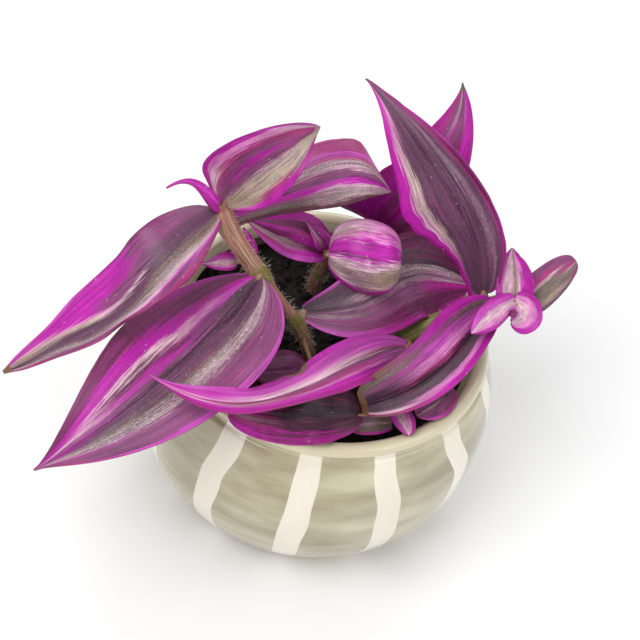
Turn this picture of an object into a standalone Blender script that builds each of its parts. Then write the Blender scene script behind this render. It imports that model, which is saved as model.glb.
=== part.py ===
"""Potted tradescantia: a squat round pot of soil with leaning stems and wide cupped leaves.

Lengths are in millimetres in the tables and become metres in the meshes. The pot stands on z = 0
with its axis on Z. The plant's tables count their heights from the plant datum, above the foot.
"""

import bpy
import numpy as np

MM = 0.001

# Driving dimensions of the pot and soil.
POT_RADIUS = 47.5
POT_HEIGHT = 57.0
FOOT_RADIUS = 33.0
BELLY_HEIGHT = 32.5
MOUTH_RADIUS = 37.5
RIM_ROLL = (2.7, 2.1)
WALL = 4.0
INNER_REACH = 41.0
SOIL_LEVEL = 47.0
SOIL_LUMP = 0.4
FIT_GAP = 0.45
POT_STEPS = 48
SOIL_RINGS = 5
SOIL_SIDES = (6.5, 12.0, 22.0, 33.0, 43.0)

# Driving dimensions of the plant.
PLANT_DATUM = 5.0
LEAF_THICKNESS = 0.8
LEAF_TIP_WIDTH = 0.7
LEAF_GRID = (12, 4)
STEM_SIDES = 8
STEM_STEPS = 8

# Colours, as linear RGB.
GLAZE = (0.42, 0.39, 0.29)
EARTH = (0.018, 0.013, 0.010)
STEM_PINK = (0.38, 0.20, 0.16)
STEM_GREEN = (0.27, 0.27, 0.07)
MAGENTA = (0.50, 0.06, 0.40)
MAUVE = (0.32, 0.12, 0.25)
PLUM = (0.13, 0.04, 0.12)
SILVER = (0.35, 0.33, 0.24)
DRIED = (0.20, 0.11, 0.07)


def clear_scene():
    for old in list(bpy.data.objects):
        bpy.data.objects.remove(old, do_unlink=True)


def material(name, colour, roughness, metallic=0.0):
    """A Principled material with one colour."""
    new = bpy.data.materials.new(name)
    new.use_nodes = True
    shader = new.node_tree.nodes["Principled BSDF"]
    shader.inputs["Base Color"].default_value = (*colour, 1.0)
    shader.inputs["Roughness"].default_value = roughness
    shader.inputs["Metallic"].default_value = metallic
    return new


def add_object(name, points, faces, finish):
    """An object from points in millimetres, shaded smooth."""
    mesh = bpy.data.meshes.new(name)
    mesh.from_pydata((np.asarray(points) * MM).tolist(), [], faces)
    mesh.materials.append(finish)
    mesh.shade_smooth()
    mesh.set_sharp_from_angle(angle=np.radians(50))
    mesh.update()
    new = bpy.data.objects.new(name, mesh)
    bpy.context.scene.collection.objects.link(new)
    return new


def unit(vectors):
    return vectors / np.linalg.norm(vectors, axis=-1, keepdims=True)


def through_four(points, u):
    """The cubic that passes its four points at u = 0, 1/3, 2/3 and 1."""
    first, second, third, last = np.asarray(points, float)
    t = 3.0 * np.asarray(u, float)[:, None]
    return (
        -first * (t - 1) * (t - 2) * (t - 3) / 6
        + second * t * (t - 2) * (t - 3) / 2
        - third * t * (t - 1) * (t - 3) / 2
        + last * t * (t - 1) * (t - 2) / 6
    )


def turned(profile, steps):
    """Points and faces of a profile turned round Z. Its two ends lie on the axis."""
    rings = np.array(profile[1:-1], float)
    angles = np.linspace(0, 2 * np.pi, steps, endpoint=False)
    ring_x = rings[:, :1] * np.cos(angles)
    ring_y = rings[:, :1] * np.sin(angles)
    ring_z = np.repeat(rings[:, 1:], steps, axis=1)
    body = np.stack([ring_x, ring_y, ring_z], axis=-1).reshape(-1, 3)
    ends = [(0, 0, profile[0][1]), (0, 0, profile[-1][1])]
    points = np.concatenate([body, ends])
    low_end, high_end = len(body), len(body) + 1
    last_ring = (len(rings) - 1) * steps
    faces = []
    for step in range(steps):
        after = (step + 1) % steps
        for ring in range(len(rings) - 1):
            near, far = ring * steps, (ring + 1) * steps
            faces.append((near + step, near + after, far + after, far + step))
        faces.append((low_end, after, step))
        faces.append((high_end, last_ring + step, last_ring + after))
    return points, faces


def arc(centre, radii, start, end, count):
    """Points on an ellipse's arc in the (radius, height) plane. Angles are in degrees."""
    angles = np.radians(np.linspace(start, end, count))
    return [(centre[0] + radii[0] * np.cos(a), centre[1] + radii[1] * np.sin(a)) for a in angles]


def inner_radius(height):
    """The radius of the pot's inner wall: an ellipse one wall inside the belly."""
    share = (height - BELLY_HEIGHT) / INNER_REACH
    return (POT_RADIUS - WALL) * np.sqrt(1 - share**2)


def make_pot():
    """The thrown bowl: flat foot, round belly, rolled rim, and an inner wall."""
    belly = arc((POT_RADIUS - 25.0, BELLY_HEIGHT), (25.0, 35.0), -66, 34, 12)
    neck = [(42.0, POT_HEIGHT - 4.0)]
    roll_centre = (MOUTH_RADIUS + RIM_ROLL[0], POT_HEIGHT - RIM_ROLL[1])
    roll = arc(roll_centre, RIM_ROLL, -30, 180, 7)
    wall = [(inner_radius(h), h) for h in (SOIL_LEVEL + 3.0, SOIL_LEVEL - 1.0, *SOIL_SIDES[::-1])]
    profile = [(0, 0), (FOOT_RADIUS - 1, 0), *belly, *neck, *roll]
    profile += [(MOUTH_RADIUS + 0.6, POT_HEIGHT - 4.5), *wall, (26.0, WALL), (0, WALL)]
    points, faces = turned(profile, POT_STEPS)
    add_object("pot", points, faces, material("pot_glaze", GLAZE, 0.25))


def make_soil():
    """The potting mix: it fills the bowl and has a lumpy top, lower than the rim."""
    heights = (*SOIL_SIDES, SOIL_LEVEL - 1.2)
    side = [(inner_radius(h) - FIT_GAP, h + FIT_GAP) for h in heights]
    edge = side[-1][0]
    top = [(edge * share, SOIL_LEVEL) for share in np.linspace(0.97, 0.15, SOIL_RINGS)]
    profile = [(0, WALL + FIT_GAP), (25.0, WALL + FIT_GAP), *side, *top, (0, SOIL_LEVEL)]
    points, faces = turned(profile, POT_STEPS)
    x, y, z = points.T
    lumps = np.sin(0.43 * x + 1.0) * np.cos(0.37 * y) + 0.6 * np.sin(0.8 * x - 0.7 * y)
    points[:, 2] += np.where(z > SOIL_LEVEL - 0.5, SOIL_LUMP * lumps, 0.0)
    add_object("soil", points, faces, material("potting_mix", EARTH, 0.95))


def make_stem(name, path, radii, colour):
    """A round stem along a cubic through four points, with a radius at its foot and its end."""
    u = np.linspace(0, 1, STEM_STEPS + 1)
    centre = through_four(path, u) + (0.0, 0.0, PLANT_DATUM)
    along = unit(np.gradient(centre, axis=0))
    side = unit(np.cross(along, (0.0, 1.0, 0.1)))
    other = np.cross(along, side)
    angles = np.linspace(0, 2 * np.pi, STEM_SIDES, endpoint=False)
    radius = np.interp(u, (0, 1), radii)[:, None, None]
    around = np.cos(angles)[:, None] * side[:, None] + np.sin(angles)[:, None] * other[:, None]
    points = (centre[:, None] + radius * around).reshape(-1, 3)
    faces = [tuple(range(STEM_SIDES))[::-1]]
    faces.append(tuple(STEM_STEPS * STEM_SIDES + k for k in range(STEM_SIDES)))
    for step in range(STEM_STEPS):
        for k in range(STEM_SIDES):
            after = (k + 1) % STEM_SIDES
            near, far = step * STEM_SIDES, (step + 1) * STEM_SIDES
            faces.append((near + k, near + after, far + after, far + k))
    add_object(name, points, faces, material(name + "_skin", colour, 0.6))


def leaf_surface(path, face, width, cup, fold, skew, outline, base_width, wave):
    """The leaf's middle surface, as a grid of points.

    The midrib is a cubic through four points. At each place along it, u = 0 to 1, the blade spans
    v = -1 to 1: its half width is a beta curve u^a (1-u)^b, its section is an arc that turns by
    the cup angle each side, each half is tilted up by the fold angle, and its edges wave.
    """
    u = np.linspace(0, 1, LEAF_GRID[0] + 1)
    v = np.linspace(-1, 1, LEAF_GRID[1] + 1)
    middle = through_four(path, u) + (0.0, 0.0, PLANT_DATUM)
    small = 1e-4
    along = unit(through_four(path, u + small) - through_four(path, u - small))
    up = np.asarray(face[0]) * (1 - u)[:, None] + np.asarray(face[1]) * u[:, None]
    up = unit(up - along * (up * along).sum(axis=1, keepdims=True))
    side = np.cross(along, up)
    a, b = outline
    widest = a / (a + b)
    beta = u**a * (1 - u) ** b / (widest**a * (1 - widest) ** b)
    half = np.hypot(width / 2 * beta, base_width / 2 * (1 - u) + LEAF_TIP_WIDTH / 2)[:, None]
    turn = np.radians(cup[0] * (1 - u) + cup[1] * u)[:, None]
    turn = np.where(np.abs(turn) < 0.01, 0.01, turn)
    half = half * (1 + skew * v)
    across = half * np.sin(turn * v) / turn
    rise = half * (1 - np.cos(turn * v)) / turn
    tilt = np.radians(fold)
    out = across * np.cos(tilt) - np.sign(v) * rise * np.sin(tilt)
    lift = rise * np.cos(tilt) + np.abs(across) * np.sin(tilt)
    height, count, start = wave
    edge = v**2 * np.sin(np.pi * u)[:, None]
    lift += height * edge * np.sin(2 * np.pi * (count * u[:, None] + start + 0.3 * (v < 0)))
    return middle[:, None] + side[:, None] * out[..., None] + up[:, None] * lift[..., None]


def grid_faces(rows, columns):
    """Quads of a grid of points that has rows x columns cells."""
    wide = columns + 1
    return [
        (r * wide + c, (r + 1) * wide + c, (r + 1) * wide + c + 1, r * wide + c + 1)
        for r in range(rows)
        for c in range(columns)
    ]


def make_leaf(name, path, face, width, colour=MAUVE, cup=(15, 10), fold=0, skew=0.0,
              outline=(0.6, 1.1), base_width=2.4, wave=(0, 1, 0)):
    """A thin closed leaf: the middle surface with its thickness added both ways."""
    surface = leaf_surface(path, face, width, cup, fold, skew, outline, base_width, wave)
    faces = grid_faces(*LEAF_GRID)
    leaf = add_object(name, surface.reshape(-1, 3), faces, material(name + "_skin", colour, 0.4))
    thick = leaf.modifiers.new("thickness", "SOLIDIFY")
    thick.thickness = LEAF_THICKNESS * MM
    thick.offset = 0.0


def make_stems():
    make_stem("west_stem", ((-4, -2, 43.2), (-9, -6, 56), (-20, -8, 71), (-32, -5, 84)),
              (2.4, 2.9), STEM_PINK)
    make_stem("centre_stem", ((-6, 20, 43.2), (-6, 20, 49), (-5, 19, 55), (-4, 17, 60)),
              (2.0, 1.6), STEM_PINK)
    make_stem("east_stem", ((15, 0, 44.4), (20, 4, 49), (31, 9, 55), (43, 12, 62)),
              (2.6, 2.2), STEM_GREEN)
    make_stem("back_stem", ((8, 26, 43.8), (8, 30, 47), (9, 33, 51), (10, 36, 54)),
              (1.6, 1.3), STEM_PINK)
    make_stem("front_stem", ((20, -14, 44), (20, -18, 46), (19, -21, 48), (18, -24, 49)),
              (1.6, 1.2), STEM_PINK)


def make_west_leaves():
    make_leaf("west_drooping_leaf", ((-35, -5, 86), (-43, -26, 80), (-55, -30, 64), (-76, -40, 51)),
              ((0.0, -0.6, 0.8), (-0.2, -0.6, 0.6)), 16.5, MAUVE, (-23, 13), skew=0.4,
              outline=(0.4, 0.8), wave=(1.0, 1.5, 0.1))
    make_leaf("west_broad_leaf", ((-21, -13, 73), (-31, -31, 66), (-45, -50, 57), (-62, -60, 41)),
              ((-0.5, -0.4, 0.7), (-0.4, -0.7, 0.5)), 39, MAGENTA, (-13, 20), outline=(0.6, 1.3))
    make_leaf("west_top_leaf", ((-32, -1, 88), (-28, 3, 94), (-20, 4, 102), (-13, 13, 105)),
              ((0.3, -0.8, 0.5), (0.2, -0.9, 0.2)), 21, MAUVE, (45, 35), skew=-0.2, outline=(0.6, 0.9))
    make_leaf("west_curl_leaf", ((-36, -4, 89), (-36, -4, 91), (-40, -4, 93), (-46, -7, 92)),
              ((0.3, -0.5, 0.8), (0, -0.5, 0.8)), 2.0, MAGENTA, (30, 20), base_width=1.4)
    make_leaf("west_back_leaf", ((-28, 3, 80), (-17, 15, 82), (-4, 19, 88), (8, 25, 79)),
              ((0, -0.7, 0.7), (0.1, -0.1, 0.8)), 18, MAUVE, (10, -34), skew=-0.1, outline=(1.4, 0.8))
    make_leaf("west_sheath_leaf", ((-22, -1, 72), (-23, 0, 75), (-24, 1, 77), (-25, 1, 80)),
              ((0.3, -0.7, 0.5), (0.3, -0.7, 0.5)), 3, MAGENTA, (40, 20))
    make_leaf("west_small_leaf", ((-26, -5, 72), (-29, -4, 74), (-32, -4, 74), (-36, -6, 72)),
              ((0, -0.6, 0.8), (0, -0.6, 0.8)), 3.5, MAGENTA, (20, 10))


def make_centre_leaves():
    make_leaf("centre_left_leaf", ((-7, 15, 62), (-12, 13, 67), (-19, 14, 67), (-27, 14, 68)),
              ((0, -0.5, 0.9), (0, -0.6, 0.8)), 12, MAGENTA, (20, 10), outline=(0.8, 1.0))
    make_leaf("centre_rolled_leaf", ((-1, 12, 67), (3, 3, 73), (9, 3, 73), (14, 10, 69)),
              ((0, -0.7, 0.7), (0, -0.7, 0.7)), 22, MAGENTA, (-75, -75), outline=(0.5, 0.5))
    make_leaf("centre_bud_leaf", ((-4, 12, 65), (-5, 13, 69), (-8, 15, 72), (-11, 18, 73)),
              ((-0.5, -0.6, 0.6), (-0.5, -0.6, 0.6)), 4, MAGENTA, (40, 30))
    make_leaf("centre_low_leaf", ((-5, -2, 56), (10, 4, 59), (18, 17, 59), (34, 23, 55)),
              ((0, -0.7, 0.7), (0, -0.6, 0.8)), 23, PLUM, (13, 12), outline=(0.6, 0.6))


def make_east_leaves():
    make_leaf("east_tall_leaf", ((37, 15, 66), (30, 18, 82), (13, 29, 95), (-5, 40, 101)),
              ((-0.6, -0.4, 0.1), (-0.3, -0.6, 0.5)), 30, MAUVE, (7, 11), skew=-0.4, outline=(0.5, 1.4))
    make_leaf("east_folded_leaf", ((42, 8, 63), (34, -6, 61), (26, -22, 63), (12, -30, 57)),
              ((-0.1, -0.5, 0.8), (0.1, -0.6, 0.7)), 18, PLUM, (8, 11), 28, skew=0.2, outline=(0.4, 0.5))
    make_leaf("east_long_leaf", ((21, -6, 55), (6, -24, 64), (-11, -47, 71), (-39, -47, 70)),
              ((0, -0.1, 0.7), (-0.6, -0.1, 0.3)), 17.5, MAGENTA, (-14, 13), outline=(0.7, 1.2))
    make_leaf("east_blunt_leaf", ((49, 12, 63), (52, 15, 65), (55, 20, 69), (59, 25, 70)),
              ((0, -0.6, 0.8), (0, -0.6, 0.8)), 6, SILVER, (10, 10), outline=(0.6, 0.5))
    make_leaf("east_fan_leaf", ((44, 13, 67), (44, 14, 69), (42, 16, 73), (42, 19, 75)),
              ((0.2, -0.8, 0.6), (0.2, -0.8, 0.6)), 7, MAGENTA, (40, 30))
    make_leaf("east_curled_leaf", ((45, 7, 66), (41, 3, 66.5), (37, 1, 66.5), (34, -3, 64.5)),
              ((0.2, -0.6, 0.8), (0.2, -0.6, 0.8)), 5, MAGENTA, (-50, -30))
    make_leaf("east_pouch_leaf", ((47, 8, 64), (49, 6, 63), (49, 3, 61), (45, 1, 60)),
              ((0.3, -0.6, 0.7), (0.3, -0.6, 0.7)), 6, MAGENTA, (50, 50), outline=(0.5, 0.5))


def make_back_leaves():
    make_leaf("back_tall_leaf", ((11, 38, 56), (15, 35, 68), (20, 42, 84), (20, 53, 97)),
              ((-0.1, -0.9, 0.5), (-0.1, -0.9, 0.4)), 23, MAGENTA, (32, 22), outline=(0.4, 1.2))


def make_front_leaves():
    make_leaf("front_wavy_leaf", ((10, -38, 56), (1, -41, 56), (-8, -41, 56), (-18, -37, 56)),
              ((0, -0.7, 0.7), (0, -0.7, 0.7)), 11, MAGENTA, (-10, -10), outline=(0.4, 0.4),
              wave=(1.2, 2, 0))
    make_leaf("front_small_leaf", ((20, -27, 48), (17, -29, 49), (14, -31, 49), (11, -32, 49)),
              ((0, -0.6, 0.8), (0, -0.6, 0.8)), 4, SILVER, (20, 10), outline=(0.6, 0.6))
    make_leaf("front_plum_leaf", ((31, -16, 53), (31, -20, 54), (29, -24, 54), (27, -27, 54)),
              ((0, -0.6, 0.8), (0, -0.6, 0.8)), 6, PLUM, (20, 10), outline=(0.6, 0.6))
    make_leaf("front_bud_leaf", ((21, -25, 52), (22, -27, 52), (24, -30, 53), (25, -32, 53)),
              ((0, -0.6, 0.8), (0, -0.6, 0.8)), 5, MAGENTA, (60, 60), outline=(0.6, 0.6))
    make_leaf("front_low_leaf", ((-8, -18, 50), (-12, -20, 52), (-17, -21, 53), (-22, -22, 54)),
              ((0, -0.6, 0.8), (0, -0.6, 0.8)), 9, PLUM, (10, 10))
    make_leaf("dried_leaf", ((4, -28, 54), (6, -30, 54), (9, -31, 53), (13, -33, 53)),
              ((0, -0.6, 0.8), (0, -0.6, 0.8)), 4, DRIED, (40, 30))


def main():
    clear_scene()
    make_pot()
    make_soil()
    make_stems()
    make_west_leaves()
    make_centre_leaves()
    make_east_leaves()
    make_back_leaves()
    make_front_leaves()


main()
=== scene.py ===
"""Potted tradescantia, laid out as a Blender add-on and run as a script.

A squat round glazed pot of dark potting mix holds leaning, hairy stems with wide striped leaves.
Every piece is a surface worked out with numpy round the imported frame, and rides on its one body.
Tables are in millimetres and degrees; meshes are in metres, +Z up, the pot's foot on z = 0. The
plant's tables count their heights from the plant datum, a little above the foot.
"""

import math

import bpy
import numpy as np
from bpy.props import FloatProperty, FloatVectorProperty, IntProperty, PointerProperty
from bpy.types import Operator, Panel, PropertyGroup
from mathutils import Matrix, Vector


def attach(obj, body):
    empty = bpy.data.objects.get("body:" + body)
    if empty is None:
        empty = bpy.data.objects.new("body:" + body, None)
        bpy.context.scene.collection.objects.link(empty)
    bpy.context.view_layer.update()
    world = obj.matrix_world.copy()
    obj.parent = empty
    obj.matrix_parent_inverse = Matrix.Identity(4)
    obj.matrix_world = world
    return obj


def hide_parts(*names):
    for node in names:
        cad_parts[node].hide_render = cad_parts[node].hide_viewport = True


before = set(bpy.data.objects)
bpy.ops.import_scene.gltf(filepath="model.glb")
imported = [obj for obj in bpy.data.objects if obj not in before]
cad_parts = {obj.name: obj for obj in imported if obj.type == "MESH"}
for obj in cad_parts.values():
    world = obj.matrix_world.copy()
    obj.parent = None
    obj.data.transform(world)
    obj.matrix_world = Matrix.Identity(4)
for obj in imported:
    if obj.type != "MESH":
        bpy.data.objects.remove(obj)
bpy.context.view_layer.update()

bl_info = {
    "name": "Potted Tradescantia",
    "version": (1, 0, 0),
    "blender": (4, 5, 0),
    "location": "View3D > Sidebar > Tradescantia",
    "description": "Builds a striped-leaf houseplant in a glazed pot",
    "category": "Add Mesh",
}

MM = 0.001
BODY = "root"
ROUND = 2 * math.pi
PLANT_DATUM = np.array([0.0, 0.0, 5.0])
# A direction that no stem follows, from which the rings round a stem take their sides.
GUIDE = np.array([0.3, -0.9, 0.31])


# ---------------------------------------------------------------- colours


def srgb(red, green, blue):
    """Linear RGB from an 8-bit sRGB colour."""
    share = np.array([red, green, blue]) / 255
    linear = np.where(share <= 0.04045, share / 12.92, ((share + 0.055) / 1.055) ** 2.4)
    return tuple(float(value) for value in linear)


# The inks that every stripe and spot is painted with.
INKS = {
    "magenta": srgb(188, 24, 166),
    "hot": srgb(166, 8, 134),
    "orchid": srgb(202, 74, 186),
    "pink": srgb(234, 138, 208),
    "blush": srgb(240, 200, 214),
    "rose": srgb(172, 56, 122),
    "mauve": srgb(136, 70, 116),
    "dusk": srgb(98, 62, 88),
    "plum": srgb(64, 28, 54),
    "ink": srgb(30, 14, 24),
    "wine": srgb(102, 16, 76),
    "silver": srgb(168, 150, 148),
    "olive": srgb(158, 142, 112),
    "moss": srgb(106, 100, 78),
    "slate": srgb(80, 66, 76),
    "haze": srgb(138, 110, 128),
    "claret": srgb(66, 14, 44),
    "celadon": srgb(192, 184, 152),
    "berry": srgb(122, 42, 96),
    "cream": srgb(206, 194, 164),
    "maroon": srgb(84, 36, 48),
    "dried": srgb(120, 84, 62),
}

# How much painted sparkle an ink carries; the rest carry very little.
SPARKLE = {"silver": 1.0, "blush": 0.8, "cream": 0.7, "olive": 0.5, "moss": 0.4,
           "pink": 0.4, "haze": 0.5, "celadon": 0.8, "dusk": 0.14, "slate": 0.16}
LEAST_SPARKLE = 0.08


# ---------------------------------------------------------------- settings


class PotSettings(PropertyGroup):
    """Sizes and colours of the pot and its soil."""

    radius: FloatProperty(
        name="Belly Radius", description="Largest outer radius of the pot",
        default=0.0475, unit="LENGTH")
    height: FloatProperty(
        name="Height", description="From the foot to the top of the rim",
        default=0.057, unit="LENGTH")
    soil_level: FloatProperty(
        name="Soil Level", description="Height of the soil above the foot",
        default=0.047, unit="LENGTH")
    crumbs: IntProperty(
        name="Crumbs", description="How many loose crumbs lie on the soil",
        default=900, min=0)
    stripe_width: FloatProperty(
        name="Stripe Width", description="Angle that one pale stripe covers",
        default=math.radians(8.0), subtype="ANGLE")
    glaze: FloatVectorProperty(
        name="Glaze", description="Colour of the glaze between the stripes",
        subtype="COLOR", size=3, default=srgb(145, 132, 100))
    stripe: FloatVectorProperty(
        name="Stripe", description="Colour of the brushed stripes",
        subtype="COLOR", size=3, default=srgb(240, 232, 216))
    rim: FloatVectorProperty(
        name="Rim", description="Colour of the rim and the inside",
        subtype="COLOR", size=3, default=srgb(214, 204, 174))
    soil: FloatVectorProperty(
        name="Soil", description="Colour of the potting mix",
        subtype="COLOR", size=3, default=srgb(20, 16, 16))


class PlantSettings(PropertyGroup):
    """Sizes of the leaves, stems and hairs."""

    thickness: FloatProperty(
        name="Leaf Thickness", description="Thickness of a leaf along its midrib",
        default=0.0008, unit="LENGTH")
    vein_depth: FloatProperty(
        name="Vein Depth", description="Height of the ridges between a leaf's veins",
        default=0.00009, unit="LENGTH")
    veins: IntProperty(
        name="Veins", description="Parallel veins across a full-size leaf", default=11)
    hair: FloatProperty(
        name="Hair Length", description="Longest hair on a stem",
        default=0.0022, unit="LENGTH")
    hairs: IntProperty(
        name="Hairs", description="How many hairs the hairiest stem has", default=520)
    green: FloatVectorProperty(
        name="Joint Green", description="Colour of the stem at its joints",
        subtype="COLOR", size=3, default=srgb(138, 134, 72))
    flesh: FloatVectorProperty(
        name="Stem Pink", description="Colour of the stem between its joints",
        subtype="COLOR", size=3, default=srgb(176, 122, 106))


class StageSettings(PropertyGroup):
    """The floor's colour and the camera."""

    elevation: FloatProperty(
        name="Camera Elevation", description="Angle that the camera looks down",
        default=math.radians(46.5), subtype="ANGLE")
    roll: FloatProperty(
        name="Camera Roll", description="Turn of the camera about its own axis",
        default=math.radians(13.0), subtype="ANGLE")
    distance: FloatProperty(
        name="Camera Distance", description="From the camera to what it looks at",
        default=0.46, unit="LENGTH")
    lens: FloatProperty(
        name="Lens", description="Focal length of the camera", default=98.97, unit="CAMERA")
    floor: FloatVectorProperty(
        name="Floor", description="Colour of the floor",
        subtype="COLOR", size=3, default=(0.93, 0.93, 0.93))


# ---------------------------------------------------------------- mesh helpers


def unit(vectors):
    return vectors / np.maximum(np.linalg.norm(vectors, axis=-1, keepdims=True), 1e-12)


def grid_cells(rows, columns, wrap=False):
    """Corner numbers of the quads of a grid of rows x columns points. A wrapped grid closes sideways."""
    numbers = np.arange(rows * columns).reshape(rows, columns)
    if wrap:
        numbers = np.concatenate([numbers, numbers[:, :1]], axis=1)
    near, far = numbers[:-1], numbers[1:]
    return np.stack([near[:, :-1], near[:, 1:], far[:, 1:], far[:, :-1]], axis=-1).reshape(-1, 4)


def closed_rings(rows, count):
    """The quads between rows of rings, and the fans from the first and last ring to two end points."""
    near = np.arange(count)
    after = np.roll(near, -1)
    start, end = np.full(count, rows * count), np.full(count, rows * count + 1)
    last_ring = (rows - 1) * count
    fans = np.concatenate([
        np.stack([after, near, start], axis=1), np.stack([near + last_ring, after + last_ring, end], axis=1)])
    return grid_cells(rows, count, wrap=True), fans


def turned(quads, triangles):
    """The same faces seen from their other side."""
    return quads[:, ::-1], triangles[:, [1, 0, 2]]


def build(name, points, quads, paint, finishes, patch=None, triangles=None):
    """A piece from points in metres, quads and triangles, a paint place for each point, and finishes."""
    triangles = np.empty((0, 3), int) if triangles is None else triangles
    corners = np.concatenate([quads.ravel(), triangles.ravel()]).astype(np.int32)
    sizes = np.repeat([4, 3], [len(quads), len(triangles)]).astype(np.int32)
    mesh = bpy.data.meshes.new(name)
    mesh.vertices.add(len(points))
    mesh.vertices.foreach_set("co", np.asarray(points, np.float32).ravel())
    mesh.loops.add(len(corners))
    mesh.loops.foreach_set("vertex_index", corners)
    mesh.polygons.add(len(sizes))
    mesh.polygons.foreach_set("loop_start", (np.cumsum(sizes) - sizes).astype(np.int32))
    for finish in finishes:
        mesh.materials.append(finish)
    if patch is not None:
        mesh.polygons.foreach_set("material_index", patch.astype(np.int32))
    mesh.update(calc_edges=True)
    layer = mesh.uv_layers.new(name="Paint")
    layer.uv.foreach_set("vector", np.asarray(paint, np.float32)[corners].ravel())
    mesh.shade_smooth()
    piece = bpy.data.objects.new(name, mesh)
    bpy.context.scene.collection.objects.link(piece)
    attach(piece, BODY)
    return piece


def through_four(points, u):
    """The cubic that passes its four points at u = 0, 1/3, 2/3 and 1."""
    first, second, third, last = np.asarray(points, float)
    t = 3.0 * np.asarray(u, float)[:, None]
    return (
        -first * (t - 1) * (t - 2) * (t - 3) / 6
        + second * t * (t - 2) * (t - 3) / 2
        - third * t * (t - 1) * (t - 3) / 2
        + last * t * (t - 1) * (t - 2) / 6
    )


def ripple(x, y, seed):
    """A smooth wandering value near -1 to 1: a sum of sines of x and y with seeded phases."""
    rng = np.random.default_rng(seed)
    total = 0.0
    for octave in range(1, 5):
        kx, ky = rng.uniform(-1, 1, 2) * octave
        total = total + np.sin(kx * x + ky * y + rng.uniform(0, ROUND)) / octave
    return total / 1.5


# ---------------------------------------------------------------- node helpers


def fill(tree, node, values):
    """Puts each value, or a link from each socket, into the node's input of that name or number."""
    for key, value in values.items():
        if isinstance(value, bpy.types.NodeSocket):
            tree.links.new(value, node.inputs[key])
        else:
            node.inputs[key].default_value = value


def add_node(tree, kind, inputs=(), **settings):
    """A shader node. Inputs map a socket's name or number to a value or to another socket."""
    node = tree.nodes.new(kind)
    for key, value in settings.items():
        setattr(node, key, value)
    fill(tree, node, dict(inputs))
    return node


def calc(tree, operation, *values):
    """One step of arithmetic on numbers or sockets."""
    return add_node(tree, "ShaderNodeMath", enumerate(values), operation=operation).outputs[0]


def times(tree, first, second):
    return calc(tree, "MULTIPLY", first, second)


def plus(tree, first, second):
    return calc(tree, "ADD", first, second)


def less(tree, first, second):
    return calc(tree, "SUBTRACT", first, second)


def parts_of(tree, vector):
    """The x, y and z of a vector or a colour."""
    return add_node(tree, "ShaderNodeSeparateXYZ", {0: vector}).outputs


def joined(tree, x, y, z):
    """A vector from its x, y and z."""
    return add_node(tree, "ShaderNodeCombineXYZ", {0: x, 1: y, 2: z}).outputs[0]


def noise(tree, place, detail, **more):
    """Soft noise from 0 to 1 at a place, at a scale of 1 unless more gives another."""
    inputs = {"Vector": place, "Scale": 1.0, "Detail": detail, **more}
    return add_node(tree, "ShaderNodeTexNoise", inputs).outputs[0]


def blend_colours(tree, share, first, second, mode="MIX"):
    """The first colour turning into the second as the share goes from 0 to 1."""
    node = add_node(tree, "ShaderNodeMix", data_type="RGBA", blend_type=mode)
    for number, value in ((0, share), (6, first), (7, second)):
        if isinstance(value, bpy.types.NodeSocket):
            tree.links.new(value, node.inputs[number])
        else:
            node.inputs[number].default_value = (*value, 1.0) if number else value
    return node.outputs[2]


def tinted(tree, colour, shade):
    """The colour times a grey shade."""
    grey = joined(tree, shade, shade, shade)
    return blend_colours(tree, 1.0, colour, grey, "MULTIPLY")


def smooth_step(tree, value, low, high, start=0.0, end=1.0):
    """Start where the value is low, end where it is high, and eased between."""
    return add_node(
        tree, "ShaderNodeMapRange",
        {"Value": value, "From Min": low, "From Max": high, "To Min": start, "To Max": end},
        interpolation_type="SMOOTHSTEP",
    ).outputs["Result"]


def layer(tree, colour, value, low, high, over, most=1.0):
    """A colour with another laid over it, from none where the value is low to most where it is high."""
    return blend_colours(tree, smooth_step(tree, value, low, high, 0.0, most), colour, over)


def new_group(name, inputs, outputs):
    """An empty node group. Inputs and outputs are (name, socket kind, default) rows."""
    group = bpy.data.node_groups.new(name, "ShaderNodeTree")
    for label, kind, default in inputs:
        socket = group.interface.new_socket(label, in_out="INPUT", socket_type=kind)
        if default is not None:
            socket.default_value = default
    for label, kind in outputs:
        group.interface.new_socket(label, in_out="OUTPUT", socket_type=kind)
    return group, add_node(group, "NodeGroupInput").outputs, add_node(group, "NodeGroupOutput").inputs


FLOAT, VECTOR = "NodeSocketFloat", "NodeSocketVector"


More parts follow.
